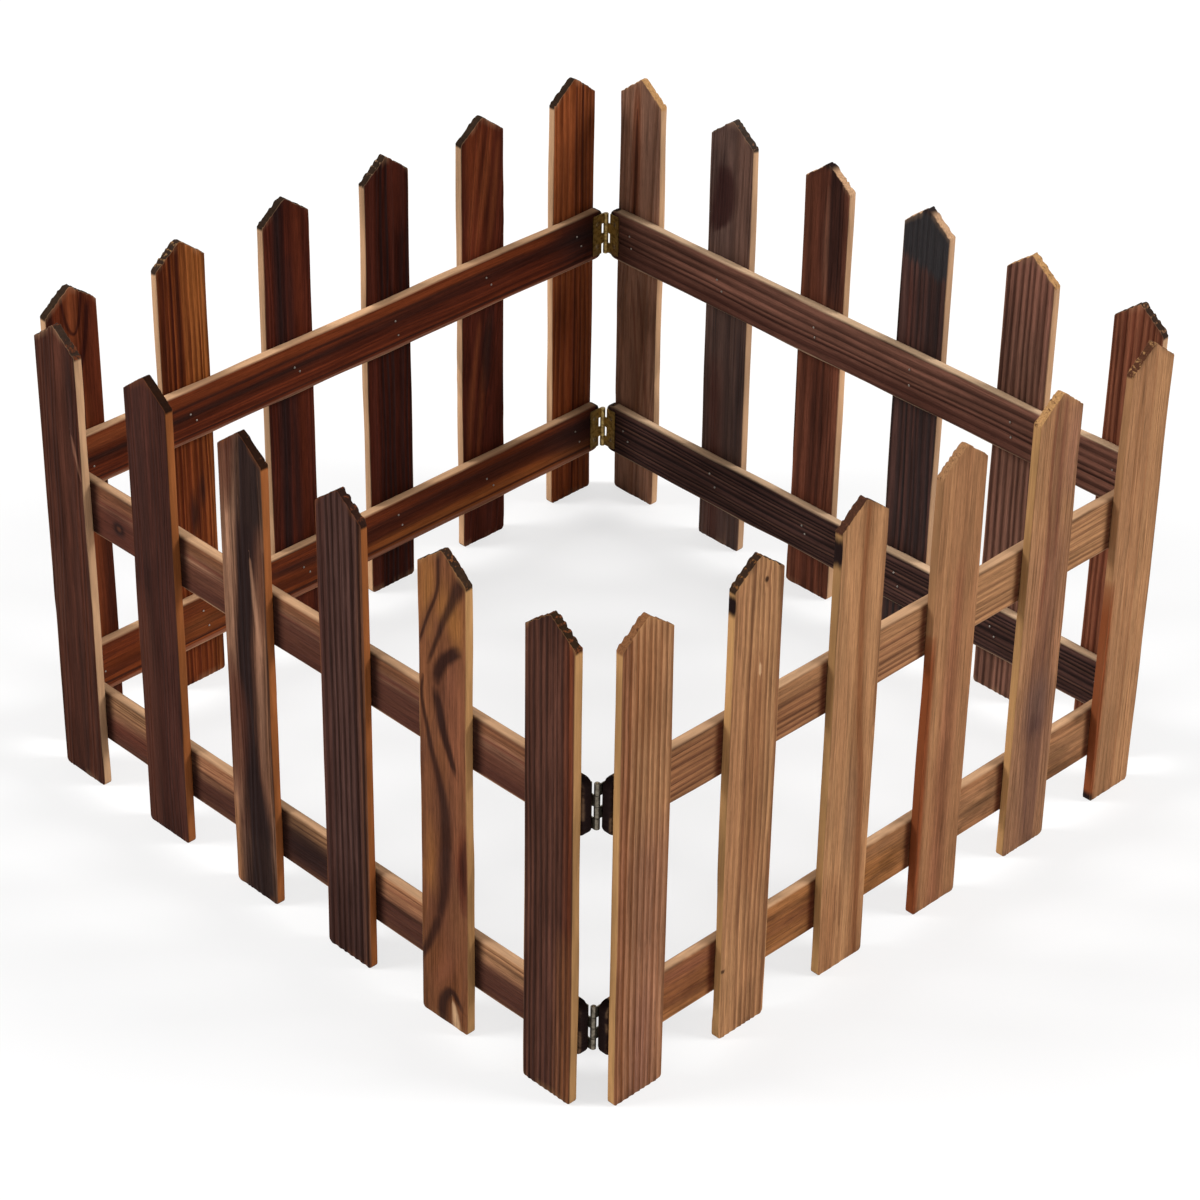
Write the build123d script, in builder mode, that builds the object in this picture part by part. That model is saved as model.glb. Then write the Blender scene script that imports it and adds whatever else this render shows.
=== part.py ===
from build123d import *
import os

# Folding picket fence: four panels of charred boards, hinged into a square that stands round a tree.
# Origin on the floor at the middle of the square, panels along X and Y, +Z up, in millimetres.

# Pickets
PICKET_HEIGHT = 300.0
PICKET_WIDTH = 36.0
PICKET_THICKNESS = 5.5
PICKET_POINT = 14.0
PICKET_PITCH = 78.0
PICKETS_PER_PANEL = 6
PICKET_FOOT_RADIUS = 2.5
PICKET_SHOULDER_RADIUS = 1.2
PICKET_TIP_RADIUS = 2.0

# Rails
RAIL_HEIGHT = 35.0
RAIL_THICKNESS = 6.5
RAIL_OVERHANG = 1.3
RAIL_END_GAP = 1.2
RAIL_CORNER_RADIUS = 5.0
LOWER_RAIL_BOTTOM = 30.0
UPPER_RAIL_BOTTOM = 172.0

# Butt hinges, one on each rail at each corner
HINGE_LENGTH = 28.0
LEAF_REACH = 10.0
LEAF_THICKNESS = 0.8
KNUCKLES = 4
KNUCKLE_GAP = 0.3
NOTCH_GAP = 1.0
PIN_RADIUS = 0.8
PIN_CLEARANCE = 0.05
PIN_STAND_OUT = 0.4
OPEN_PIVOT_CLEARANCE = 0.3
# Barrels are prisms with this many sides, round to within a few hundredths of a millimetre
BARREL_SIDES = 24

# What follows from those sizes
PICKET_ROW = (PICKETS_PER_PANEL - 1) * PICKET_PITCH + PICKET_WIDTH
RAIL_LENGTH = PICKET_ROW + 2 * RAIL_OVERHANG
PIN_SPAN = RAIL_LENGTH + 2 * RAIL_END_GAP
BARREL_RADIUS = PIN_RADIUS + PIN_CLEARANCE + LEAF_THICKNESS
KNUCKLE_PITCH = HINGE_LENGTH / KNUCKLES
RAIL_BOTTOMS = {"lower": LOWER_RAIL_BOTTOM, "upper": UPPER_RAIL_BOTTOM}
HINGE_BOTTOMS = [bottom + (RAIL_HEIGHT - HINGE_LENGTH) / 2 for bottom in RAIL_BOTTOMS.values()]

# Panels in the order of their quarter turns about +Z, and the corner at each panel's right end seen from outside
PANELS = ["front", "right", "back", "left"]
CORNERS = ["front_right", "back_right", "back_left", "front_left"]
OPEN_CORNER = "back_right"


def panel_directions(number):
    """Unit vectors along a panel, left to right seen from outside, and out of the square."""
    turn = number * 90
    return Vector(1, 0, 0).rotate(Axis.Z, turn), Vector(0, -1, 0).rotate(Axis.Z, turn)


def panel_plane(number, stand_off):
    """Upright plane facing out of the square, at a distance outside the panel's line of hinge pins."""
    along, outward = panel_directions(number)
    return Plane(origin=outward * (PIN_SPAN / 2 + stand_off), x_dir=along, z_dir=outward)


def corner_point(number, height):
    """Point on the pin axis at the right end of a panel."""
    along, outward = panel_directions(number)
    return (along + outward) * (PIN_SPAN / 2) + Vector(0, 0, height)


def save(part, name):
    """Labels a finished piece and writes it to its own file."""
    part.label = name
    export_step(part, f"parts/{name}.step")


def make_picket(plane, centre):
    """One upright board with a pointed top, its back on the rails' outer faces."""
    left = centre - PICKET_WIDTH / 2
    right = centre + PICKET_WIDTH / 2
    shoulder = PICKET_HEIGHT - PICKET_POINT
    with BuildPart() as picket:
        with BuildSketch(plane) as outline:
            with BuildLine():
                Polyline(
                    (left, 0), (right, 0), (right, shoulder), (centre, PICKET_HEIGHT), (left, shoulder), close=True
                )
            make_face()
            feet, shoulders, tip = outline.vertices().group_by(Axis.Y)
            fillet(feet, radius=PICKET_FOOT_RADIUS)
            fillet(shoulders, radius=PICKET_SHOULDER_RADIUS)
            fillet(tip, radius=PICKET_TIP_RADIUS)
        extrude(amount=PICKET_THICKNESS)
    return picket.part


def make_rail(plane, bottom):
    """One long board on edge, with rounded ends."""
    with BuildPart() as rail:
        with BuildSketch(plane):
            with Locations((0, bottom + RAIL_HEIGHT / 2)):
                RectangleRounded(RAIL_LENGTH, RAIL_HEIGHT, RAIL_CORNER_RADIUS)
        extrude(amount=RAIL_THICKNESS)
    return rail.part


def make_leaves(planes, own_knuckles, pin_clearance):
    """A corner's leaves on one panel: on each plane, x runs along the rail and y towards its inner face."""
    notch = BARREL_RADIUS + NOTCH_GAP
    half_side = 180 / BARREL_SIDES
    with BuildPart() as leaves:
        for plane in planes:
            # Rolled barrel with the flat leaf running off it as a tangent
            with BuildSketch(plane):
                RegularPolygon(BARREL_RADIUS, BARREL_SIDES, major_radius=False, rotation=half_side)
                with Locations((LEAF_REACH / 2, BARREL_RADIUS - LEAF_THICKNESS / 2)):
                    Rectangle(LEAF_REACH, LEAF_THICKNESS)
                bore = PIN_RADIUS + pin_clearance
                RegularPolygon(bore, BARREL_SIDES, major_radius=False, rotation=half_side, mode=Mode.SUBTRACT)
            extrude(amount=HINGE_LENGTH)
            # Notches for the other leaf's knuckles
            for number in range(KNUCKLES):
                if number not in own_knuckles:
                    with BuildSketch(plane.offset(number * KNUCKLE_PITCH - KNUCKLE_GAP / 2)):
                        Rectangle(2 * notch, 2 * notch)
                    extrude(amount=KNUCKLE_PITCH + KNUCKLE_GAP, mode=Mode.SUBTRACT)
    return leaves.part


def make_pins(number):
    """The two pins of a corner, standing a little out of their barrels."""
    with BuildPart() as pins:
        for bottom in HINGE_BOTTOMS:
            with BuildSketch(Plane(origin=corner_point(number, bottom - PIN_STAND_OUT))):
                Circle(PIN_RADIUS)
            extrude(amount=HINGE_LENGTH + 2 * PIN_STAND_OUT)
    return pins.part


def build_panel(number):
    """Pickets and rails of one panel."""
    name = PANELS[number]
    for side, bottom in RAIL_BOTTOMS.items():
        save(make_rail(panel_plane(number, BARREL_RADIUS), bottom), f"{name}_rail_{side}")
    picket_plane = panel_plane(number, BARREL_RADIUS + RAIL_THICKNESS)
    for place in range(PICKETS_PER_PANEL):
        centre = (place - (PICKETS_PER_PANEL - 1) / 2) * PICKET_PITCH
        save(make_picket(picket_plane, centre), f"{name}_picket_{place + 1}")


def build_corner(number):
    """Hinges between the right end of one panel and the left end of the next."""
    corner = CORNERS[number]
    following = (number + 1) % len(PANELS)
    here, there = PANELS[number], PANELS[following]
    # The first leaf is drawn upwards from its lower end, the second downwards from its upper end
    back_along_here = -panel_directions(number)[0]
    along_there = panel_directions(following)[0]
    lower_ends = [corner_point(number, bottom) for bottom in HINGE_BOTTOMS]
    upper_ends = [corner_point(number, bottom + HINGE_LENGTH) for bottom in HINGE_BOTTOMS]
    here_planes = [Plane(origin=end, x_dir=back_along_here, z_dir=(0, 0, 1)) for end in lower_ends]
    there_planes = [Plane(origin=end, x_dir=along_there, z_dir=(0, 0, -1)) for end in upper_ends]
    # Knuckles alternate, so the second leaf has those that the first leaves free
    here_knuckles = range(0, KNUCKLES, 2)
    there_knuckles = [KNUCKLES - 1 - free for free in range(1, KNUCKLES, 2)]
    there_clearance = OPEN_PIVOT_CLEARANCE if corner == OPEN_CORNER else PIN_CLEARANCE
    save(make_leaves(here_planes, here_knuckles, PIN_CLEARANCE), f"{corner}_hinge_leaves_{here}")
    save(make_leaves(there_planes, there_knuckles, there_clearance), f"{corner}_hinge_leaves_{there}")
    save(make_pins(number), f"{corner}_hinge_pins")


os.makedirs("parts", exist_ok=True)
for quarter in range(len(PANELS)):
    build_panel(quarter)
    build_corner(quarter)
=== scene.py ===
import math
from functools import partial

import bmesh
import bpy
import numpy as np
from mathutils import Matrix, Vector


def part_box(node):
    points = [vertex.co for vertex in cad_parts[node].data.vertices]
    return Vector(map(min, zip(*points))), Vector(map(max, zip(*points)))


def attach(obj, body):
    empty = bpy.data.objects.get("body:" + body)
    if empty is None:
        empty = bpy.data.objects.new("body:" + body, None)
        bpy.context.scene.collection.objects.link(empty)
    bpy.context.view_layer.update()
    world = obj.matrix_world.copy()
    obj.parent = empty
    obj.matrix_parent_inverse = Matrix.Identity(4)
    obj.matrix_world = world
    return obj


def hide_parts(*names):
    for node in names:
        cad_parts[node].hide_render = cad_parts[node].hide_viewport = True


# Looks of a folding picket fence: charred boards with raised grain, nail heads and small brass hinges.
# Sizes are in millimetres, in the frame of the solids, and MM turns them into metres.
MM = 0.001
UP = Vector((0, 0, 1))
QUARTER = math.pi / 2

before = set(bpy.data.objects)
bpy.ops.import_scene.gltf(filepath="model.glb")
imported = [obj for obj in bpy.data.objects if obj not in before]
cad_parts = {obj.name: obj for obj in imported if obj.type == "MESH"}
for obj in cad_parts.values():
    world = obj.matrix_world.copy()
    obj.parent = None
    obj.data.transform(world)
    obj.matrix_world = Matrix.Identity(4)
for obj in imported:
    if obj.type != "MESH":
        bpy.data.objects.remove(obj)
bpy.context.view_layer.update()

PANELS = ["front", "right", "back", "left"]
CORNERS = ["front_right", "back_right", "back_left", "front_left"]
PICKETS_PER_PANEL = 6
RAILS = ["lower", "upper"]
# The photograph shows the outer faces of two panels and the inner faces of the other two
SEEN_FROM_INSIDE = ["back", "left"]

# Camera that was fitted to the photograph
IMAGE_PIXELS = 1200
FOCAL_PIXELS = 3739.65
SENSOR_WIDTH = 36.0
CAMERA_AZIMUTH = 44.96
CAMERA_ELEVATION = 33.28
CAMERA_ROLL = 0.96
CAMERA_DISTANCE = 2152.75
TARGET_HEIGHT = 111.75

# Board outlines, as in the solids
PICKET_POINT = 14.0
PICKET_TIP_ROUND = 0.7
PICKET_FOOT_RADIUS = 2.5
RAIL_END_RADIUS = 5.0
PICKET_ARRIS = 0.5
RAIL_ARRIS = 1.3

# How finely a board is divided
COLUMNS = 72
PICKET_ROWS = 64
RAIL_ROWS = 84
COLUMN_CROWDING = 1.15
ARC_STEPS = 3
SIDE_STEPS = 3
CURVE_STEPS = 6
# A board's pointed or rounded ends bend its rows over this length
FOOT_FADE = 9.0
TOP_FADE = 46.0

# Wavelengths across and along a board: of its rings, its faces, its long edges and its chipped point
WAVES = 7
BEND_WAVES = (60, 260)
RIPPLE_WAVES = (25, 90)
UNEVEN_WAVES = (18, 120)
EDGE_WAVES = (1000, 130)
CHIP_WAVES = (2.4, 9.0)
RIPPLE_SHARE = 0.35
# Rings after which good and bad years come round again, and how much longer than wide a knot is
YEAR_PERIODS = (5.3, 2.3)
KNOT_STRETCH = 1.8
GRAIN_SHIFT = (100, 900)
# Unevenness of edges, faces and sawn sides, and how deep a point is chipped in early wood and by chance
EDGE_WANDER = 0.3
UNEVEN = 0.05
UNEVEN_MIDDLE = 1.5
SIDE_RELIEF = 0.07
CHIP_EARLY = 0.5
CHIP_CHANCE = 0.7
CHIP_LEVELS = (0.1, 1.0)
# Arrises: their depth as a share of their size, its swing and limits, and how much they mark the faces' rims
ARRIS_MIDDLE = 1.1
ARRIS_SWING = 0.5
ARRIS_LIMITS = (0.6, 2.4)
ARRIS_SHIFT = 40
ARRIS_LEAST_FALL = 0.1
FACE_EDGE_ARRIS = 0.45
FOOT_CUT = 0.5
# Flat map: margin, height, width of a face's strip, where the back's begins, and the rim's strip
MAP_MARGIN = 0.01
MAP_HEIGHT = 0.98
MAP_FACE = 0.43
MAP_BACK = 0.46
MAP_RIM = 0.91
MAP_RIM_WIDTH = 0.08

# Shares of a growth ring where its dark late wood begins and is full, and starts to end and has ended
LATE_RISE = (0.22, 0.68)
LATE_FALL = (0.84, 1.0)

# Wood tones
TONES = {
    "cream": "c9a27c",
    "straw": "a87b55",
    "honey": "9d7250",
    "golden": "966a49",
    "toffee": "86593a",
    "tan": "774b2f",
    "amber": "8f5d31",
    "clay": "8a5f4b",
    "rose": "9b7259",
    "cinnamon": "66402a",
    "walnut": "5b3219",
    "chestnut": "8d4c29",
    "hazel": "70452c",
    "rosewood": "7f5647",
    "umber": "523022",
    "ash": "8a6450",
    "mauve": "6e4e40",
    "smoke": "5c443b",
    "ember": "94562a",
    "copper": "84503a",
    "sienna": "7c4124",
    "rust": "6c3319",
    "brick": "5f2a17",
    "maroon": "5c3024",
    "russet": "4c2116",
    "oxblood": "4c1c0c",
    "mahogany": "36150d",
    "garnet": "2a0f0c",
    "cocoa": "55352a",
    "coffee": "4e2c21",
    "bark": "42251e",
    "fig": "4d352f",
    "plum": "54352a",
    "soot": "2a1712",
    "char": "211615",
    "jet": "130b09",
    "slate": "2a2829",
    "sawn": "cda27c",
    "sawn_gold": "c0915f",
    "sawn_pale": "d9b693",
    "sawn_red": "9c5d33",
}
# Cut wood in its darker rings and worn wood, as a share of its own tone
CUT_SHADE = 0.6
WORN_SHADE = 0.75
# Level of the speckle noise above which a top is flecked, how it falls with the flecks, and its soft edge
FLECK_NONE = 0.7
FLECK_FALL = 0.47
FLECK_EDGE = 0.2


# The usual curve of screen colours: straight up to the knee, and a power above it
CURVE_KNEE = 0.04045
CURVE_SLOPE = 12.92
CURVE_OFFSET = 0.055
CURVE_POWER = 2.4


def linear(code):
    """Colour of a six-digit code as linear red, green, blue and alpha."""
    curve = []
    for share in (int(code[place : place + 2], 16) / 255 for place in (0, 2, 4)):
        above = ((share + CURVE_OFFSET) / (1 + CURVE_OFFSET)) ** CURVE_POWER
        curve.append(share / CURVE_SLOPE if share <= CURVE_KNEE else above)
    return (*curve, 1.0)


def mark(tone, half_widths, strength, *points, soft=0.5, under=False):
    """A stroke along given points, with half widths spread over them. Full strength marks sides too."""
    widths = half_widths if isinstance(half_widths, tuple) else (half_widths, half_widths)
    return dict(tone=tone, widths=widths, strength=strength, points=points, soft=soft, under=under)


# Strokes by how soft they are, and a soft one that the ring stripes lie over
haze = partial(mark, soft=1.0)
wash = partial(mark, soft=0.9)
smudge = partial(mark, soft=0.8)
stroke = partial(mark, soft=0.7)
tint = partial(mark, soft=0.9, under=True)


def spot(tone, size, strength, place, soft=0.5):
    """An oval patch: half its width and height as seen. Full strength marks sides too."""
    return dict(tone=tone, size=size, strength=strength, place=place, soft=soft, under=False)


# What most boards have. Lengths are in millimetres, and the rest are shares from 0 to 1.
PLAIN = {
    "edge": "sawn",
    "top": "char",
    "fleck": "sawn_red",
    "flecks": 0.2,
    "ring": 4.0,
    "contrast": 0.7,
    "pith": (-150.0, 30.0),
    "lean": (0.0, 0.0),
    "wander": 1.2,
    "swell": 0.11,
    "ragged": 0.2,
    "relief": 0.3,
    "streaks": 0.4,
    "mottle": 0.3,
    "smear": 0.12,
    "notch": 0.9,
    "gloss": 0.02,
    "end_burn": (1.5, 5.0),
    "knots": [],
}
# Boards with straight, even rings that stand well proud
STRIPED = PLAIN | {
    "pith": (-350, 25),
    "wander": 0.7,
    "swell": 0.03,
    "ragged": 0.12,
    "relief": 0.45,
    "streaks": 0.25,
    "mottle": 0.2,
}


LOOKS = {}


def look(node, early, late, *strokes, base=PLAIN, **changes):
    """Sets how one board looks: its early and late wood, its strokes, and what differs from its base."""
    marks = [entry for entry in strokes if "points" in entry]
    spots = [entry for entry in strokes if "place" in entry]
    LOOKS[node] = base | {"early": early, "late": late, "marks": marks, "spots": spots} | changes


# Marks on pickets are placed by millimetres right of the middle as seen in the photograph, and height
look(
    "front_picket_1", "coffee", "soot",
    haze("soot", 3.5, 0.6, (-7, 295), (-6, 200), (-4, 100), (-6, -5)),
    smudge("char", (4, 3.5, 2), 0.45, (11, 292), (11, 255), (12, 222)),
    haze("soot", 2, 0.5, (4, 160), (3, 60), (2, -5)),
    smudge("clay", (0.6, 1.2, 0.5), 0.6, (10, 236), (12, 224), (16, 207)),
    haze("cocoa", 5, 0.5, (-12, 152), (-12, 95)),
    ring=5.5, contrast=0.5, lean=(0.03, 0), fleck="rust", flecks=0.4,
)
look(
    "front_picket_2", "bark", "soot",
    haze("coffee", (5, 7, 6), 0.75, (-12, 158), (-12, 90), (-13, -5)),
    ring=5.0, contrast=0.45, relief=0.15, edge="sawn_red", top="jet", flecks=0.0, notch=0.2,
)
look(
    "front_picket_3", "rose", "umber",
    tint("cinnamon", (4, 3, 4), 0.6, (15, 230), (16, 140), (15, 60)),
    tint("cinnamon", 3, 0.25, (-16, 300), (-17, 180), (-16, 90)),
    wash("russet", 5, 0.85, (-12, 303), (-9, 286)),
    wash("umber", (6, 7, 3), 0.8, (-12, 304), (-11, 278), (-12, 250)),
    mark("umber", (8, 9, 9.5, 14), 0.8, (3, 245), (-1, 160), (0, 90), (3, 40)),
    smudge("bark", (5, 9), 0.5, (-9, 58), (-9, -5)),
    mark(
        "char", (13, 13, 8.0, 7.0, 7.5, 7.0, 7.5, 11.5, 15), 0.97, (8, 302), (6, 252), (1, 207), (-2, 170),
        (-2, 140), (-1.5, 110), (-0.5, 82), (4, 45), (5, -5),
    ),
    smudge("coffee", (9, 6, 3), 0.5, (-11, 304), (-12, 280), (-15, 245)),
    wash("umber", (4, 5, 3), 0.7, (15, 245), (14, 215), (16, 180)),
    wash("coffee", (3, 8, 7, 4), 0.9, (-15, 155), (-12, 125), (-13, 90), (-14, 62)),
    smudge("rose", (0.8, 1.6, 1.2), 0.7, (5.5, 226), (8, 196), (12, 165)),
    haze("amber", (2, 3), 0.5, (-15.5, 60), (-16, -5)),
    smudge("char", 1.4, 0.7, (17.8, 235), (17.5, 140), (17.8, 60)),
    ring=5.0, contrast=0.5, wander=2.0, edge="sawn_red", top="jet", flecks=0.05, notch=0.3,
)
look(
    "front_picket_4", "fig", "soot",
    tint("bark", 5, 0.6, (-16, 300), (-15, 150), (-16, -5)),
    tint("cinnamon", 3, 0.7, (16.5, 290), (16, 150), (16.5, -5)),
    wash("soot", (9, 13), 0.55, (-6, 62), (-5, -5)),
    base=STRIPED, pith=(-400, 20), wander=0.6, swell=0.02, ragged=0.1, relief=0.55, ring=4.85, contrast=1.0,
    edge="sawn_red", fleck="sienna", flecks=0.3,
)
look(
    "front_picket_5", "hazel", "umber",
    haze("amber", (8, 8, 6), 0.7, (-11, 290), (-3, 272), (8, 258)),
    haze("amber", (4, 5, 4), 0.6, (-12, 286), (-12, 268), (-11, 246)),
    haze("amber", (4, 5, 4), 0.7, (12, 275), (11, 262), (12, 246)),
    haze("copper", (6, 7, 5), 0.5, (8, 240), (8, 205), (10, 160)),
    haze("amber", (4, 6, 5), 0.45, (-13, 130), (-11, 95), (9, 70)),
    haze("copper", (5, 6, 5), 0.35, (6, 150), (8, 60), (-8, 20)),
    haze("umber", (5, 8, 7), 0.85, (2, 108), (1, 80), (-4, 55)),
    haze("cinnamon", (4, 7, 6), 0.85, (12, 105), (11, 80), (9, 50)),
    haze("umber", (4, 7, 6), 0.75, (0, 240), (-2, 215), (1, 192)),
    haze("umber", (5, 5, 4), 0.65, (-9, 175), (1, 120), (-8, 60)),
    haze("umber", (3, 4, 3), 0.55, (-17, 200), (-16, 150), (-17, 100)),
    haze("cinnamon", (3, 4, 4), 0.5, (-14, 30), (-12, 12), (-14, -5)),
    haze("umber", (2.5, 2.5, 2), 0.7, (-2, 300), (-3, 276), (-10, 257), (-17, 238)),
    mark("soot", (1.1, 1.1, 0.9, 0.8), 0.8, (-2, 300), (-3, 276), (-10, 257), (-17, 238), soft=0.6),
    stroke("soot", (4.8, 2.8, 1.6, 1.2), 0.85, (16, 290), (6, 269), (-2, 250), (-10, 229)),
    mark("soot", (3.2, 3.6, 3.8, 2.4), 0.95, (13, 246), (4, 238), (-2.5, 228), (-5, 218), soft=0.55),
    mark("soot", (2.6, 3.6, 3.2, 1.7), 0.95, (-5.5, 214), (-2.5, 203), (1.5, 188), (9, 168), soft=0.6),
    stroke(
        "soot", (0.9, 1.3, 2.1, 3.4, 4.0, 3.4, 2.8), 0.85, (-14.5, 219), (-15.5, 203), (-8, 173),
        (0.5, 145), (1.5, 118), (0, 90), (-4, 69),
    ),
    stroke("soot", (2.8, 2.5, 2.0), 0.85, (-4, 69), (-13, 46), (-19, 34)),
    wash("russet", (3, 4.5, 2.5), 0.9, (15, 136), (14, 112), (15, 82)),
    stroke("soot", (3.5, 3.2, 2.5, 1.6), 0.9, (-3, -5), (-1.5, 14), (5, 23), (13, 15)),
    stroke("cream", (3.2, 2.6, 1.2), 0.8, (9, -5), (8, 6), (6, 17)),
    wash("soot", (1.2, 2.4, 1.2), 0.7, (16, 130), (15, 114), (16, 94)),
    tint("walnut", 9, 0.6, (-2, 55), (0, 30), (0, 15)),
    ring=13.0, contrast=0.3, pith=(4, 24), lean=(0.01, 0.1), wander=5.0, relief=0.2, edge="sawn_gold",
    mottle=0.25,
)
look(
    "front_picket_6", "cocoa", "soot",
    tint("rust", 4, 0.6, (15, 295), (15, 150), (15, -5)),
    tint("tan", (5, 7), 0.7, (12, 108), (12, -5)),
    haze("soot", (5, 7), 0.4, (0, 62), (-1, -5)),
    ring=3.8, relief=0.4, pith=(-300, 25), wander=0.7, swell=0.03, ragged=0.15, edge="sawn_gold", top="jet",
    fleck="sienna", flecks=0.4,
)
look(
    "right_picket_1", "honey", "walnut",
    tint("clay", 16, 0.7, (4, 170), (4, -5)),
    tint("copper", 5, 0.6, (-16, 300), (-15, 150), (-16, -5)),
    tint("toffee", 8, 0.6, (0, 292), (0, 228)),
    tint("rosewood", 7, 0.6, (0, 65), (0, -5)),
    base=STRIPED, pith=(-400, 25), wander=0.6, swell=0.02, streaks=0.2, mottle=0.15, ring=4.15,
    contrast=0.85, edge="sawn_gold", top="toffee", fleck="umber", flecks=0.35,
)
look(
    "right_picket_2", "straw", "cinnamon",
    tint("golden", 12, 0.6, (6, 120), (6, -5)),
    tint("toffee", (5, 7, 6), 0.7, (1, 240), (1, 160), (1, 95)),
    smudge("golden", 5, 0.75, (-15, 305), (-13, 150), (-15, 62)),
    mark("cream", 0.7, 0.9, (2.7, 236), (3, 226), soft=0.6),
    haze("straw", 6, 0.6, (-11, 66), (-12, -5)),
    spot("soot", (1.2, 1.6), 0.9, (5, 284)),
    spot("char", (1.4, 6.5), 1.0, (-18.2, 277), soft=0.3),
    spot("soot", (2.0, 1.2), 0.8, (-16, 46)),
    base=STRIPED, pith=(-260, 25), wander=1.6, streaks=0.2, mottle=0.15, ring=3.9, contrast=0.85,
    edge="sawn_gold", fleck="amber", flecks=0.35, knots=[(5, 283, 2.6, 1.6)],
)
look(
    "right_picket_3", "straw", "toffee",
    tint("toffee", (5, 4, 4.5), 0.7, (3, 300), (3, 180), (8, 100), (11, -5)),
    mark(
        "tan", (1.6, 2.0, 2.2, 1.8), 0.92, (2.3, 297), (1.2, 242), (4.2, 165), (8, 127), (10.5, 60),
        (12, -5),
    ),
    smudge("cinnamon", (2.2, 1.8, 0.9), 0.7, (16.5, 290), (16, 230), (16.5, 150)),
    mark("umber", 0.6, 0.5, (-7, 58), (-6, 30)),
    mark("cinnamon", 0.7, 0.6, (-3, 62), (-2, 25)),
    wash("straw", 5, 0.55, (11, 300), (11, 185)),
    haze("golden", 6, 0.6, (-11, 198), (-11, 142)),
    haze("toffee", 7, 0.6, (-11, 62), (-11, -5)),
    spot("char", (1.4, 9.5), 1.0, (-18.2, 274), soft=0.3),
    spot("smoke", (5, 30), 0.3, (2, 100), soft=1.0),
    ring=10.0, contrast=0.35, relief=0.2, streaks=0.25, mottle=0.2, edge="sawn_gold", top="bark",
    flecks=0.15,
)
look(
    "right_picket_4", "golden", "toffee",
    tint("copper", (3, 6, 6), 0.6, (2, 230), (1, 130), (0, -5)),
    tint("straw", 4, 0.5, (-12, 300), (-12, 100)),
    tint("cinnamon", (4, 6, 4), 0.5, (0, 112), (0, 76), (0, 40)),
    wash("sienna", 2.4, 1.0, (-16.9, 185), (-17, 90), (-17, -5)),
    ring=7.0, contrast=0.4, relief=0.15, streaks=0.2, mottle=0.15, edge="straw", top="straw", fleck="umber",
    flecks=0.3,
)
look(
    "right_picket_5", "honey", "toffee",
    tint("clay", 14, 0.6, (5, 215), (5, 60)),
    haze(
        "cocoa", (6, 5, 4, 6, 9, 8, 6), 0.5, (0, 300), (0, 242), (3, 205), (1, 160), (0, 110), (2, 65),
        (3, -5),
    ),
    wash("maroon", (1.2, 1.4, 1.6), 0.6, (-4, 298), (-5, 250), (-2, 200), (-4, 150)),
    wash("maroon", (1.5, 1.8, 1.4), 0.5, (3, 298), (3, 250), (5, 195)),
    wash("plum", (1.4, 2.0, 1.4), 0.6, (-4, 150), (-5, 110), (-2, 60), (0, 10)),
    wash("plum", (1.2, 1.8, 1.4), 0.5, (3, 165), (3, 110), (6, 60), (7, 10)),
    haze("rosewood", 6, 0.6, (12, 292), (12, 232)),
    haze("mauve", (13, 19, 19), 0.5, (0, 108), (0, 60), (0, -5)),
    spot("smoke", (9, 18), 0.7, (1, 100), soft=0.9),
    spot("fig", (7, 7), 0.6, (1, 84), soft=0.9),
    ring=4.5, contrast=0.45, relief=0.25, streaks=0.25, mottle=0.2, edge="sawn_gold", top="sawn_gold",
    fleck="umber", flecks=0.35,
)
look(
    "right_picket_6", "honey", "toffee",
    tint("straw", 8, 0.5, (9, 300), (9, -5)),
    smudge("toffee", 0.8, 0.6, (2, 295), (3, 150), (2, -5)),
    smudge("toffee", 0.8, 0.5, (-5, 290), (-4, 100)),
    haze("toffee", 1.6, 0.4, (-9, 295), (-8, 180)),
    wash("straw", 6, 0.65, (10, 292), (10, 232)),
    wash("sienna", 2.4, 1.0, (-16.9, 150), (-17, 80), (-17, -5)),
    spot("char", (4, 5), 1.0, (-18, 1)),
    ring=5.0, contrast=0.35, relief=0.25, streaks=0.25, mottle=0.12, edge="straw", top="umber",
    fleck="sawn_gold", flecks=0.35,
)
look(
    "left_picket_6", "brick", "mahogany",
    tint("sienna", (5, 9, 8), 0.6, (3, 225), (2, 140), (0, 40)),
    tint("sienna", (5, 4), 0.7, (0, 300), (0, 262)),
    stroke(
        "garnet", (1.6, 1.5, 1.4, 1.6, 1.4, 1.5, 1.6), 0.85, (-15, 294), (-12, 266), (-7, 249), (-1, 242),
        (4, 247), (8, 262), (11, 286),
    ),
    stroke("garnet", 1.0, 0.8, (-7, 296), (-4, 277), (1, 269), (5, 277), (7.5, 294)),
    haze("garnet", 2.5, 0.6, (-1, 238), (1, 215), (0, 190)),
    haze("soot", 3, 0.7, (-17, 300), (-15, 150), (-16, -5)),
    haze("soot", 2.5, 0.5, (15, 190), (14, 120), (12, -5)),
    ring=7.0, contrast=0.45, wander=2.0, top="jet", flecks=0.0,
)
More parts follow.
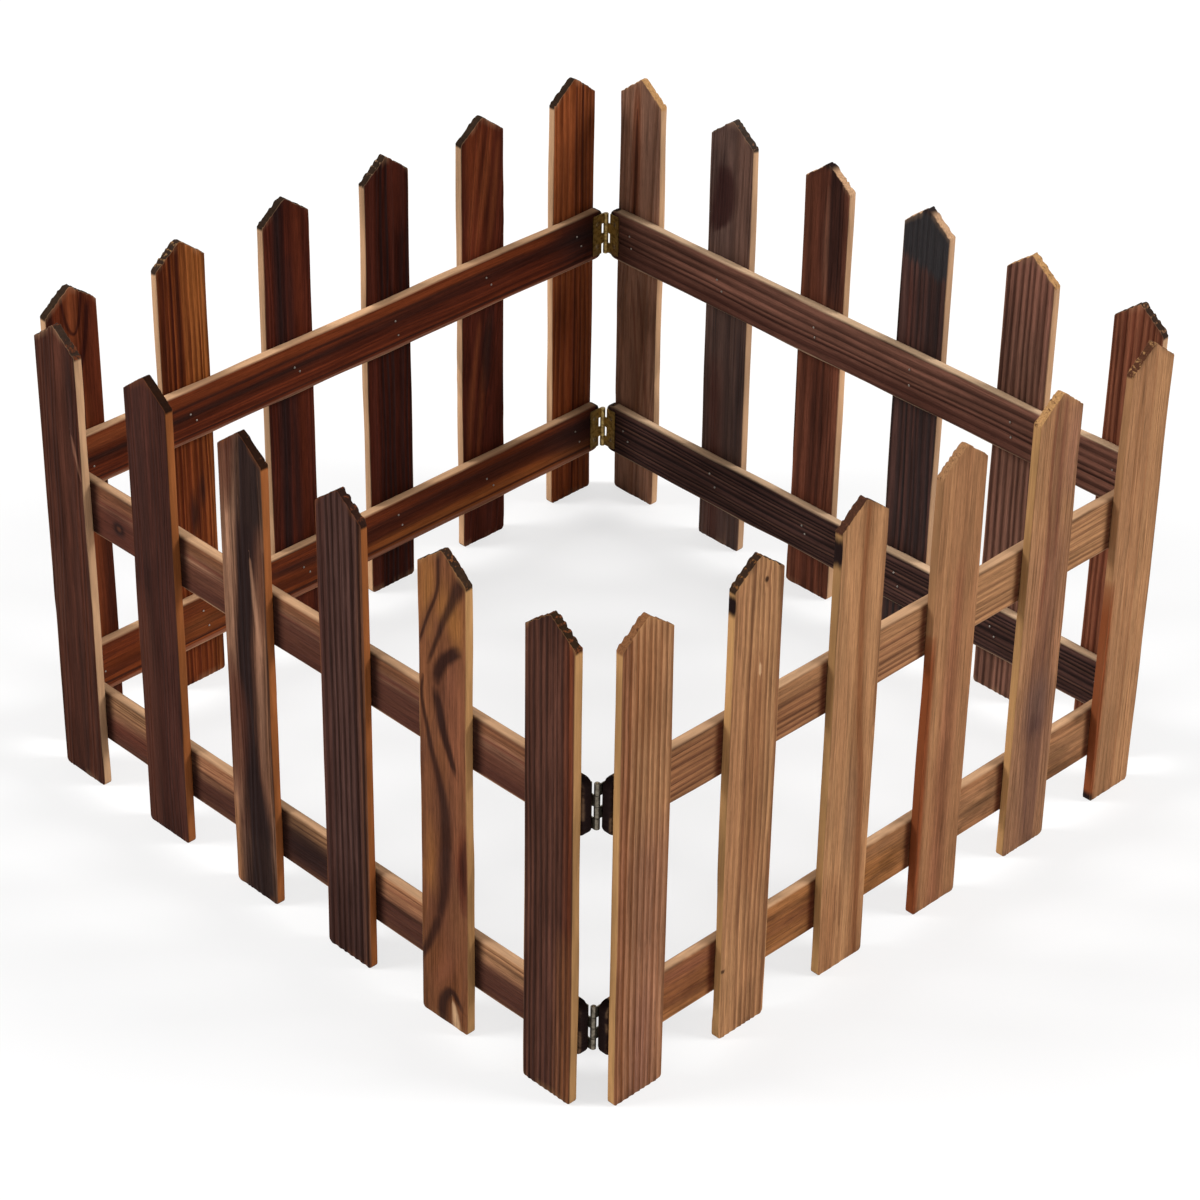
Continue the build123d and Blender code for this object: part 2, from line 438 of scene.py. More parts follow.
look(
    "left_picket_5", "ember", "oxblood",
    tint("rust", (12, 12, 13), 0.9, (-11, 305), (-10, 200), (-9, -5)),
    tint("rust", 13, 0.85, (5, 180), (5, -5)),
    wash("mahogany", (4, 4, 3), 0.6, (-15, 305), (-15, 200), (-14, -5)),
    stroke("garnet", 1.2, 0.75, (-3, 298), (-4, 200)),
    stroke("garnet", 1.0, 0.7, (-8, 298), (-8, 200)),
    haze("ember", 7, 0.5, (10, 302), (10, 246)),
    spot("char", (3.5, 14), 0.75, (1, 118), soft=0.8),
    spot("char", (2.5, 10), 0.65, (7, 132), soft=0.8),
    ring=3.7, contrast=0.95, pith=(-250, 25), wander=0.8, swell=0.06, ragged=0.15, fleck="sawn_gold",
    flecks=0.35,
)
look(
    "left_picket_4", "russet", "garnet",
    smudge("char", (3, 3.5, 3), 0.85, (-7, 302), (-6, 150), (-7, -5)),
    haze("char", 2.5, 0.6, (1, 260), (2, 150), (3, 60)),
    tint("brick", 4, 0.5, (9, 300), (10, 150), (9, -5)),
    ring=6.0, contrast=0.6, top="jet", flecks=0.0,
)
look(
    "left_picket_3", "mahogany", "char",
    haze("russet", 3.5, 0.7, (-13, 305), (-12, 150), (-13, -5)),
    wash("russet", 1.5, 0.6, (3, 300), (4, 210)),
    haze("russet", 5, 0.55, (9, 302), (9, 250)),
    ring=4.6, contrast=0.85, top="jet", fleck="sawn", pith=(-250, 25), swell=0.05, ragged=0.15,
)
look(
    "left_picket_2", "russet", "mahogany",
    tint("brick", 12, 0.8, (3, 300), (-2, 200)),
    haze("sienna", (1.6, 2.6, 1.8), 0.5, (7, 290), (2, 255), (-6, 210)),
    haze("sienna", (1.4, 2.2, 1.4), 0.45, (-1, 292), (-9, 240), (-12, 205)),
    haze("sienna", (1.4, 2.2, 1.4), 0.4, (13, 280), (9, 240), (4, 206)),
    haze("sienna", (1.6, 2.6, 1.8), 0.5, (-3, 160), (-10, 105), (-13, 60)),
    haze("sienna", (1.4, 2.2, 1.6), 0.4, (6, 162), (0, 115), (-5, 62)),
    smudge("char", (3, 4, 3), 0.8, (7, 168), (4, 145), (2, 110)),
    haze("rust", 5, 0.45, (-10, 302), (-10, 250)),
    ring=5.0, contrast=0.6, lean=(0.12, 0), wander=2.5, top="jet", flecks=0.0,
)
look(
    "left_picket_1", "chestnut", "oxblood",
    wash("mahogany", 7, 0.2, (12, 305), (12, 150), (11, -5)),
    tint("rust", 14, 0.7, (-6, 150), (-6, -5)),
    stroke("garnet", 1.1, 0.8, (2, 298), (2, 150), (1, -5)),
    stroke("garnet", 0.9, 0.7, (7, 298), (8, 190)),
    haze("chestnut", 6, 0.4, (-10, 266), (-10, 212)),
    ring=4.4, pith=(-250, 25), swell=0.06, ragged=0.15, top="jet", flecks=0.0,
)
look(
    "back_picket_6", "ash", "cinnamon",
    haze("smoke", 7, 0.25, (10, 300), (10, 210)),
    wash("rust", (2.5, 3.5, 3), 0.7, (-3, 292), (-3, 240), (-4, 195)),
    stroke("soot", (0.6, 1.2, 1.0), 0.75, (-3, 280), (-3, 246), (-4, 200)),
    smudge("umber", 1.2, 0.7, (1, 160), (6, 120), (11, 62)),
    smudge("umber", 1.0, 0.6, (-5, 158), (0, 110), (4, 62)),
    tint("cinnamon", 14, 0.5, (0, 150), (0, 60)),
    ring=6.0, contrast=0.6, lean=(0.05, 0), top="sawn_gold", fleck="umber", flecks=0.1,
)
look(
    "back_picket_5", "smoke", "soot",
    mark("garnet", (6, 10, 9, 3), 0.9, (-5, 268), (-4, 251), (-7, 236), (-14, 222), soft=0.35),
    haze("russet", 6, 0.5, (-8, 130), (-6, -5)),
    haze("char", 4, 0.5, (12, 165), (12, 60)),
    haze("char", 6, 0.4, (0, 300), (0, 285)),
    haze("mauve", 6, 0.55, (11, 298), (11, 200)),
    haze("smoke", 6, 0.8, (-10, 300), (-9, 280)),
    ring=5.0, contrast=0.55, gloss=0.12, top="jet",
)
look(
    "back_picket_4", "copper", "soot",
    tint("maroon", 18, 0.7, (0, 305), (0, -5)),
    smudge("char", (8, 9, 6), 0.8, (9, 300), (9, 240), (12, 200)),
    haze("soot", 9, 0.5, (4, 160), (3, 60)),
    haze("ash", (1, 2, 1.5), 0.25, (1, 285), (1, 250), (2, 200)),
    spot("char", (6, 4), 1.0, (0, 300), soft=0.6),
    ring=6.0, contrast=0.6, top="sawn", fleck="umber", flecks=0.12,
)
look(
    "back_picket_3", "fig", "char",
    haze("char", 6, 0.6, (10, 262), (9, 150), (6, -5)),
    wash("maroon", (2, 3, 2), 0.3, (-10, 258), (-9, 235), (-9, 205)),
    tint("bark", 18, 0.5, (0, 260), (0, -5)),
    spot("slate", (40, 34), 0.95, (6, 293), soft=0.1),
    spot("char", (6, 4), 1.0, (0, 300), soft=0.6),
    ring=4.8, contrast=0.95, gloss=0.1, pith=(-250, 25), swell=0.05, top="sawn", fleck="soot", flecks=0.1,
)
look(
    "back_picket_2", "rosewood", "soot",
    tint("mauve", 18, 0.7, (0, 255), (0, -5)),
    tint("soot", 5, 0.25, (-15, 270), (-15, 200)),
    base=STRIPED, ring=4.5, top="sawn_gold", fleck="soot", flecks=0.25,
)
look("back_picket_1", "copper", "russet", base=STRIPED, wander=0.8, ring=4.6, fleck="golden", flecks=0.35)

# Places on a rail just right and just left of its pickets, as seen from outside, where painted shade darkens
# the corners
PICKET_PITCH = 78.0
FIRST_RIGHT = 38.3
FIRST_LEFT = 78.3
RIGHT_OF_PICKETS = [FIRST_RIGHT + PICKET_PITCH * count for count in range(PICKETS_PER_PANEL - 1)]
LEFT_OF_PICKETS = [FIRST_LEFT + PICKET_PITCH * count for count in range(PICKETS_PER_PANEL - 1)]
# How far the painted corner shade reaches up and down from a rail's middle
CORNER_SHADE_REACH = 20


def corner_shade(tone, half_width, strength, places):
    """Upright strokes of painted shade on a rail, in the corners beside its pickets where they shade it."""
    return [haze(tone, half_width, strength, (place, -CORNER_SHADE_REACH), (place, CORNER_SHADE_REACH)) for place in places]


# Marks on rails are placed by millimetres from the left end as seen in the photograph, and above the middle.
# Their ends are burnt fully at the first length of end_burn and not at all from the second.
look(
    "front_rail_lower", "honey", "umber",
    tint("clay", 9, 0.7, (-5, -4), (200, -4), (434, -4)),
    mark("bark", (10, 11, 12, 12, 12), 0.9, (-5, -11), (120, -10), (214, -7), (300, -8), (434, -9)),
    smudge("char", (8, 15, 8), 0.85, (160, 0), (208, 0), (245, -4)),
    mark("soot", 1.0, 0.7, (90, 6), (150, 5), (200, 7), soft=0.6),
    mark("soot", 1.4, 0.7, (240, 3), (290, 1), (340, 3), soft=0.6),
    haze("maroon", 6, 0.6, (-5, -3), (60, -4), (100, -3)),
    haze("copper", 6, 0.5, (110, 12), (162, 12)),
    haze("copper", 6, 0.5, (266, 12), (318, 12)),
    # Painted shade in the corners beside the pickets
    *corner_shade("soot", 4, 0.9, RIGHT_OF_PICKETS),
    ring=3.8, relief=0.25, wander=2.0, end_burn=(4, 11),
)
look(
    "front_rail_upper", "rose", "umber",
    tint("hazel", 6, 0.85, (-5, 13), (200, 14), (434, 13)),
    mark("coffee", 14, 0.92, (-5, -9), (110, -10), (220, -9), (330, -10), (434, -9), soft=0.4),
    wash("maroon", 1.2, 0.7, (-5, 6), (110, 7), (220, 6), (330, 7), (434, 6)),
    haze("bark", 5, 0.7, (-5, -14), (110, -13), (220, -14), (330, -12), (434, -14)),
    haze("maroon", 12, 0.6, (20, -3), (60, -2), (95, -3)),
    stroke("plum", 1.0, 0.5, (150, 6), (220, 5), (300, 8)),
    haze("bark", 6, 0.5, (180, 0), (325, 0)),
    # Painted shade in the corners beside the pickets
    *corner_shade("soot", 4, 0.9, RIGHT_OF_PICKETS),
    spot("bark", (13, 9), 0.7, (60, -3), soft=0.9),
    spot("char", (5, 4), 0.9, (60, -4)),
    spot("umber", (2, 1.6), 0.8, (60, -4), soft=0.6),
    ring=7.0, contrast=0.45, relief=0.2, wander=2.0, end_burn=(4, 11), knots=[(60, -4, 7, 4)],
)
look(
    "right_rail_lower", "toffee", "umber",
    tint("amber", 18, 0.7, (-5, 0), (120, 0), (240, 0)),
    tint("honey", 14, 0.7, (240, 0), (330, 2), (434, 0)),
    haze("maroon", 9, 0.5, (-5, -3), (40, -2), (80, -4)),
    haze("maroon", 7, 0.4, (110, 2), (190, -3)),
    haze("copper", 6, 0.6, (30, 12), (88, 11)),
    haze("golden", 6, 0.5, (185, 12), (245, 11)),
    # Painted shade in the corners beside the pickets
    *corner_shade("russet", 2.5, 0.8, LEFT_OF_PICKETS),
    ring=8.0, contrast=0.3, relief=0.2, wander=4.0, mottle=0.35, smear=0.45, end_burn=(4, 11),
)
look(
    "right_rail_upper", "golden", "umber",
    tint("tan", 20, 0.5, (-5, 0), (70, 0), (180, 0)),
    tint("straw", 20, 0.7, (245, 0), (330, 0), (434, 0)),
    wash("straw", 16, 0.25, (245, 0), (330, 0), (434, 0)),
    haze("straw", 5, 0.4, (108, 12), (320, 12)),
    # Painted shade in the corners beside the pickets
    *corner_shade("russet", 2.5, 0.8, LEFT_OF_PICKETS),
    base=STRIPED, pith=(-300, 25), wander=0.9, relief=0.4, ring=4.2, contrast=0.75, end_burn=(4, 11),
)
look(
    "back_rail_lower", "fig", "char",
    tint("mauve", 1.2, 0.6, (-5, 6), (200, 5), (434, 6)),
    tint("mauve", 1.0, 0.5, (-5, -8), (434, -7)),
    ring=3.4, contrast=1.0, relief=0.45, pith=(-300, 25), wander=1.0, swell=0.05, ragged=0.12,
    edge="sawn_pale",
)
look(
    "back_rail_upper", "rosewood", "soot",
    tint("cocoa", 20, 0.4, (-5, -4), (200, -4), (434, -4)),
    haze("bark", (7, 6, 7), 0.6, (-5, -13), (200, -12), (340, -13)),
    haze("soot", (16, 9), 0.45, (-5, -2), (48, -5)),
    ring=5.6, contrast=0.95, relief=0.45, pith=(-300, 25), swell=0.05, ragged=0.12, edge="sawn_pale",
)
look(
    "left_rail_lower", "rust", "mahogany",
    wash("amber", 13, 0.2, (76, 2), (114, 2)),
    haze("brick", 6, 0.6, (-5, 10), (200, 8), (434, 10)),
    haze("ember", (3, 5, 5, 4), 0.55, (225, -8), (300, -9), (365, -9), (425, -9)),
    wash("soot", (3, 4, 4, 5), 0.75, (140, 7), (220, 3), (300, 6), (434, 6)),
    wash("char", 18, 0.75, (385, 0), (434, 0)),
    mark("soot", 0.8, 0.8, (-5, -11), (200, -11.5), (434, -11.5)),
    mark("clay", 1.4, 0.55, (-5, -15), (434, -15)),
    haze("mahogany", 5, 0.5, (205, 0), (335, 0)),
    ring=6.0, contrast=0.6, relief=0.2, wander=2.5,
)
look(
    "left_rail_upper", "brick", "mahogany",
    wash("rust", (3.5, 4, 3), 0.75, (-5, 12), (200, 12), (390, 12)),
    wash("soot", (2, 3, 4), 0.85, (-5, 0), (150, 1), (300, 4), (434, 5)),
    smudge("soot", 1.2, 0.7, (60, 7), (200, 8), (360, 9)),
    wash("char", 18, 0.8, (390, 0), (434, 0)),
    mark("soot", 0.8, 0.8, (-5, -12.6), (434, -12.6)),
    mark("clay", 1.2, 0.6, (-5, -15.8), (434, -15.8)),
    haze("mahogany", (4, 6, 6), 0.55, (205, -1), (300, 0), (395, 0)),
    haze("sienna", 4, 0.6, (-5, 11), (55, 11)),
    ring=5.0, contrast=0.6, relief=0.2, wander=2.0,
)

# A mark runs out over this length at its ends, and one at least this soft over more if it ends on the board
MARK_TAPER = 5.0
SOFT_TAPER = 24.0
SOFT_FROM = 0.8
# An end this near to the board's edges, or past them, counts as off the board
EDGE_NEAR = 6.0
HALF_BOARD = 17.0


def ease(low, high, value):
    """Smooth step from 0 at low to 1 at high."""
    share = np.clip((value - low) / (high - low), 0, 1)
    return share * share * (3 - 2 * share)


def late_wood(rings):
    """Share of dark late wood at a place in the growth rings."""
    place = rings - np.floor(rings)
    return ease(*LATE_RISE, place) * (1 - ease(*LATE_FALL, place))


def make_waves(random, across, along):
    """A smooth random function of place on a board, about from -1 to 1, with those wavelengths."""
    steps_across = random.uniform(-1, 1, WAVES) / across
    steps_along = random.uniform(-1, 1, WAVES) / along
    starts = random.uniform(0, 1, WAVES)

    def waves(c, l):
        steps = zip(steps_across, steps_along, starts)
        return sum(np.sin(2 * np.pi * (c * a + l * b + start)) for a, b, start in steps) / math.sqrt(WAVES)

    return waves


def smooth_line(points, widths):
    """Points of a smooth curve through the given ones, and the width at each."""
    last = len(points) - 1
    places = np.arange(last * CURVE_STEPS + 1) / CURVE_STEPS
    widths = np.interp(places, np.linspace(0, last, len(widths)), widths)
    given = np.array(points, float)
    given = np.vstack([2 * given[0] - given[1], given, 2 * given[-1] - given[-2]])
    line = []
    for before, here, there, after in zip(given, given[1:], given[2:], given[3:]):
        bend = 2 * before - 5 * here + 4 * there - after
        turn = 3 * here - before - 3 * there + after
        for t in np.arange(CURVE_STEPS) / CURVE_STEPS:
            line.append(here + ((there - before) * t + bend * t**2 + turn * t**3) / 2)
    line.append(given[-2])
    return np.array(line), widths


class Timber:
    """The growth rings and strokes of one board. Places are across, depth from the outer face, and along."""

    def __init__(self, style, seed, length, upright, from_inside):
        random = np.random.default_rng(seed)
        self.style = style
        self.length = length
        self.upright = upright
        self.from_inside = from_inside
        self.bend = make_waves(random, *BEND_WAVES)
        self.ripple = make_waves(random, *RIPPLE_WAVES)
        self.uneven = make_waves(random, *UNEVEN_WAVES)
        self.edges = [make_waves(random, *EDGE_WAVES) for edge in range(2)]
        self.chips = make_waves(random, *CHIP_WAVES)
        self.swell = random.uniform(0, 2 * np.pi, len(YEAR_PERIODS))
        self.shift = random.uniform(*GRAIN_SHIFT, 3)

    def spot(self, first, second):
        """Across and along of a place that is given as seen in the photograph."""
        if self.upright:
            return (-first if self.from_inside else first), second
        return -second, (self.length - first if self.from_inside else first)

    def rings(self, c, d, l):
        """Number of rings from the pith, which is outside most boards."""
        style = self.style
        rise = l - self.length / 2
        sign = -1 if self.upright and self.from_inside else 1
        pith_c = sign * (style["pith"][0] + style["lean"][0] * rise)
        pith_d = style["pith"][1] + style["lean"][1] * rise
        radius = np.hypot(c - pith_c, d - pith_d)
        radius = radius + style["wander"] * (self.bend(c, l) + RIPPLE_SHARE * self.ripple(c, l))
        for first, second, size, push in style["knots"]:
            across, along = self.spot(first, second)
            far = ((c - across) / size) ** 2 + ((l - along) / (KNOT_STRETCH * size)) ** 2
            radius = radius + push * np.exp(-far)
        # Good and bad years make rings wider and narrower
        for count, start in zip(YEAR_PERIODS, self.swell):
            period = count * style["ring"]
            radius = radius + style["swell"] * period * np.sin(radius / period * 2 * np.pi + start)
        return radius / style["ring"]

    def beside(self, entry, c, l):
        """Half widths by which places lie left or right of a mark, and a share that ends past its ends."""
        line, widths = smooth_line([self.spot(*point) for point in entry["points"]], entry["widths"])
        lengths = np.hypot(*np.diff(line, axis=0).T)
        reached = 0.0
        nearest = np.full(np.shape(c), np.inf)
        aside = np.zeros(np.shape(c))
        travelled = np.zeros(np.shape(c))
        for start, end, length, wide, widening in zip(line, line[1:], lengths, widths, np.diff(widths)):
            step = (end - start) / length
            ahead = (c - start[0]) * step[0] + (l - start[1]) * step[1]
            on_line = np.clip(ahead, 0, length)
            far_c = c - start[0] - on_line * step[0]
            far_l = l - start[1] - on_line * step[1]
            far = np.hypot(far_c, far_l)
            width = wide + widening * on_line / length
            signed = np.where(step[0] * far_l > step[1] * far_c, far, -far) / width
            closer = far < nearest
            nearest = np.where(closer, far, nearest)
            aside = np.where(closer, signed, aside)
            travelled = np.where(closer, reached + ahead, travelled)
            reached += length
        inside = 1.0
        for place, passed in ((line[0], travelled), (line[-1], reached - travelled)):
            on_board = abs(place[0]) < HALF_BOARD and EDGE_NEAR < place[1] < self.length - EDGE_NEAR
            taper = SOFT_TAPER if on_board and entry["soft"] >= SOFT_FROM else MARK_TAPER
            taper = min(taper, reached / 2)
            inside = inside * ease(-taper, taper, passed)
        return aside, inside

    def oval(self, entry):
        """Middle of a spot in the grain's coordinates, and one over its half sizes."""
        across, along = self.spot(*entry["place"])
        wide, high = entry["size"] if self.upright else entry["size"][::-1]
        return (across + self.shift[0], 0, along + self.shift[2]), (1 / wide, 0, 1 / high)

    def burn(self, l):
        """Share of burning at the ends of a rail."""
        if self.upright:
            return np.zeros(np.shape(l))
        return 1 - ease(*self.style["end_burn"], np.minimum(l, self.length - l))


def rounded_end(c, half, radius):
    """How far a square end with rounded corners lies inside its line, across the board."""
    over = np.maximum(np.abs(c) - (half - radius), 0)
    return radius - np.sqrt(np.maximum(radius**2 - over**2, 0))


def board_face(size, timber, rows, side, depth):
    """Vertices of one face: across, the depth that its raised grain leaves, and along."""
    width, thickness, length = size
    style = timber.style
    pointed = timber.upright
    arris = PICKET_ARRIS if pointed else RAIL_ARRIS
    half = width / 2 - arris
    column = half * side
    low = rounded_end(column, half, (PICKET_FOOT_RADIUS if pointed else RAIL_END_RADIUS) - arris)
    drop = low
    if pointed:
        slope = PICKET_POINT / (width / 2)
        sharp = slope * (np.hypot(column, PICKET_TIP_ROUND) - PICKET_TIP_ROUND)
        early = 1 - late_wood(timber.rings(column, depth, length - sharp))
        chipped = CHIP_EARLY * early + CHIP_CHANCE * ease(*CHIP_LEVELS, timber.chips(column, depth))
        drop = sharp + arris * (math.hypot(1, slope) - 1) + style["notch"] * chipped
    nominal = np.linspace(arris, length - arris, rows)[None, :]
    foot_share = np.clip(1 - (nominal - arris) / FOOT_FADE, 0, 1)
    top_share = np.clip(1 - (length - arris - nominal) / (TOP_FADE if pointed else FOOT_FADE), 0, 1)
    along = nominal + low[:, None] * foot_share - drop[:, None] * top_share
    # Long edges wander a little inwards
    left, right = (np.maximum(EDGE_WANDER * (1 + edge(0 * along, along)), 0) for edge in timber.edges)
    share = (side[:, None] + 1) / 2
    across = column[:, None] + left * (1 - share) - right * share
    # Soft early wood lies under the face
    early = 1 - late_wood(timber.rings(across, depth, along))
    sunk = style["relief"] * early + UNEVEN * (UNEVEN_MIDDLE + timber.uneven(across, along)).clip(0, None)
    return [values.ravel() for values in (across, depth - sunk if depth else sunk, along)]


def board_points(size, timber, rows, side, loop):
    """Vertices of both faces and then of the rim, in millimetres, what each carries, and the rim's rings."""
    thickness = size[1]
    arris = PICKET_ARRIS if timber.upright else RAIL_ARRIS
    front = board_face(size, timber, rows, side, 0.0)
    back = board_face(size, timber, rows, side, thickness)
    # Each layer has across, depth and along, and shares of sawn side, arris and cut end
    worn = np.zeros(COLUMNS * rows)
    worn[loop] = FACE_EDGE_ARRIS
    layers = [(*face, 0.0, worn, 0.0) for face in (front, back)]

    front_line, back_line = (np.stack([across, along], 1)[loop] for across, depth, along in (front, back))
    middle_line = (front_line + back_line) / 2
    tangent = np.roll(middle_line, -1, 0) - np.roll(middle_line, 1, 0)
    outward = np.stack([tangent[:, 1], -tangent[:, 0]], 1)
    outward /= np.linalg.norm(outward, axis=1)[:, None]
    # Cut ends: a picket's top and, less burnt, its foot, or both ends of a rail
    at_cut = np.zeros(len(loop))
    at_cut[1 : COLUMNS - 1] = FOOT_CUT if timber.upright else 1.0
    at_cut[COLUMNS + rows - 2 : 2 * COLUMNS + rows - 2] = 1.0

    swing = timber.uneven(middle_line[:, 0] + ARRIS_SHIFT, middle_line[:, 1] * 2)
    arris_depth = arris * np.clip(ARRIS_MIDDLE + ARRIS_SWING * swing, *ARRIS_LIMITS)

    def fallen(sunk, angle):
        """Depth under a face where its arris has turned by an angle."""
        return sunk + np.maximum(arris_depth - sunk, ARRIS_LEAST_FALL) * (1 - math.cos(angle))

    # Rings of the rim: share of the way to the back, turn of the arris and depth
    angles = [QUARTER * step / ARC_STEPS for step in range(1, ARC_STEPS + 1)]
    rim = [(0.0, angle, fallen(front[1][loop], angle)) for angle in angles]
    near = rim[-1][2]
    for share in (step / SIDE_STEPS for step in range(1, SIDE_STEPS)):
        rim.append((share, QUARTER, near * (1 - share) + (thickness - arris_depth) * share))
    rim += [(1.0, angle, thickness - fallen(thickness - back[1][loop], angle)) for angle in reversed(angles)]
    for share, angle, depth in rim:
        out = math.sin(angle)
        line = front_line * (1 - share) + back_line * share
        early = 1 - late_wood(timber.rings(line[:, 0], depth, line[:, 1]))
        line = line + outward * (arris * out - SIDE_RELIEF * early * out)[:, None]
        layers.append((line[:, 0], depth, line[:, 1], out**2, math.sin(2 * angle), at_cut * out**2))

    table = np.concatenate([np.stack(np.broadcast_arrays(*layer), 1) for layer in layers])
    points = table[:, :3]
    attributes = dict(zip(("sawn", "arris", "cut"), table[:, 3:].T))
    attributes["rings"] = timber.rings(*points.T)
    attributes["burn"] = timber.burn(points[:, 2])
    attributes["grain"] = points + timber.shift
    for number, entry in enumerate(timber.style["marks"]):
        aside, inside = timber.beside(entry, points[:, 0], points[:, 2])
        attributes[f"mark_{number}"] = np.stack([aside, inside, np.zeros(len(points))], 1)
    return points, attributes, len(rim)


def on_map(start, width, across, along):
    """Places on the flat map, by shares across a strip and along it."""
    return np.stack(np.broadcast_arrays(start + width * across, MAP_MARGIN + MAP_HEIGHT * along), -1)


def board_quads(grid, side, loop, rim_count):
    """Quads of the faces and the rim, and their corners on a flat map of three strips."""
    front = np.stack([grid[:-1, :-1], grid[1:, :-1], grid[1:, 1:], grid[:-1, 1:]], -1).reshape(-1, 4)
    quads = [front, front[:, ::-1] + grid.size]
    column, row = np.divmod(front, grid.shape[1])
    across, along = (side[column] + 1) / 2, row / (grid.shape[1] - 1)
    maps = [on_map(MAP_MARGIN, MAP_FACE, across, along), on_map(MAP_BACK, MAP_FACE, across, along)[:, ::-1]]
    count = len(loop)
    lines = [2 * grid.size + count * ring + np.arange(count) for ring in range(rim_count)]
    lines = [loop, *lines, loop + grid.size]
    low, high = np.arange(count) / count, np.arange(1, count + 1) / count
    for step, (here, there) in enumerate(zip(lines, lines[1:])):
        quads.append(np.stack([here, there, np.roll(there, -1), np.roll(here, -1)], 1))
        near, far = step / (rim_count + 1), (step + 1) / (rim_count + 1)
        corners = ((near, low), (far, low), (far, high), (near, high))
        maps.append(np.stack([on_map(MAP_RIM, MAP_RIM_WIDTH, *corner) for corner in corners], 1))
    return np.concatenate(quads), np.concatenate(maps)


def new_object(name, data):
    """An object with that mesh, light or camera, in the scene."""
    made = bpy.data.objects.new(name, data)
    bpy.context.scene.collection.objects.link(made)
    return made


def make_board(name, place, timber, rows):
    """A board's piece, standing for its solid."""
    origin, axes, size = place
    side = np.sin(np.linspace(-COLUMN_CROWDING, COLUMN_CROWDING, COLUMNS)) / math.sin(COLUMN_CROWDING)
    # Numbers of a face's vertices, and those round it, anticlockwise seen from outside, from the lower left
    grid = np.arange(COLUMNS * rows).reshape(COLUMNS, rows)
    loop = np.concatenate([grid[:, 0], grid[-1, 1:], grid[-2::-1, -1], grid[0, -2:0:-1]])
    points, attributes, rim_count = board_points(size, timber, rows, side, loop)
    quads, flat_map = board_quads(grid, side, loop, rim_count)
    turned = points @ np.array([list(axis) for axis in axes]) + np.array(list(origin))
    mesh = bpy.data.meshes.new(name + "_board")
    mesh.from_pydata((turned * MM).tolist(), [], quads.tolist())
    mesh.shade_smooth()
    for key, values in attributes.items():
        kind, field = ("FLOAT", "value") if values.ndim == 1 else ("FLOAT_VECTOR", "vector")
        mesh.attributes.new(key, kind, "POINT").data.foreach_set(field, values.astype(np.float32).ravel())
    layer = mesh.uv_layers.new(name="OFBake")
    layer.uv.foreach_set("vector", flat_map.astype(np.float32).ravel())
    return new_object(name + "_board", mesh)


def panel_axes(number):
    """Unit vectors along a panel, left to right seen from outside, and out of the square."""
    turn = QUARTER * number
    along = Vector((round(math.cos(turn)), round(math.sin(turn)), 0))
    return along, Vector((along.y, -along.x, 0))


def extent(node, direction):
    """Lowest and highest place of a node along an axis, in millimetres."""
    low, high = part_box(node)
    return sorted((low.dot(direction) / MM, high.dot(direction) / MM))


def board_place(node, number, upright):
    """A board's origin on its outer face, its axes across, inwards and along the grain, and its size."""
    along, outward = panel_axes(number)
    left, right = extent(node, along)
    inner, outer = extent(node, outward)
    bottom, top = extent(node, UP)
    if upright:
        origin = along * (left + right) / 2 + outward * outer + UP * bottom
        return origin, (along, -outward, UP), (right - left, outer - inner, top - bottom)
    origin = along * left + outward * outer + UP * (bottom + top) / 2
    return origin, (-UP, -outward, along), (top - bottom, outer - inner, right - left)


# Middle of a noise's values, and the colour sockets of a mix node
NOISE_MIDDLE = 0.5
MIX_FIRST, MIX_SECOND, MIX_RESULT = 6, 7, 2


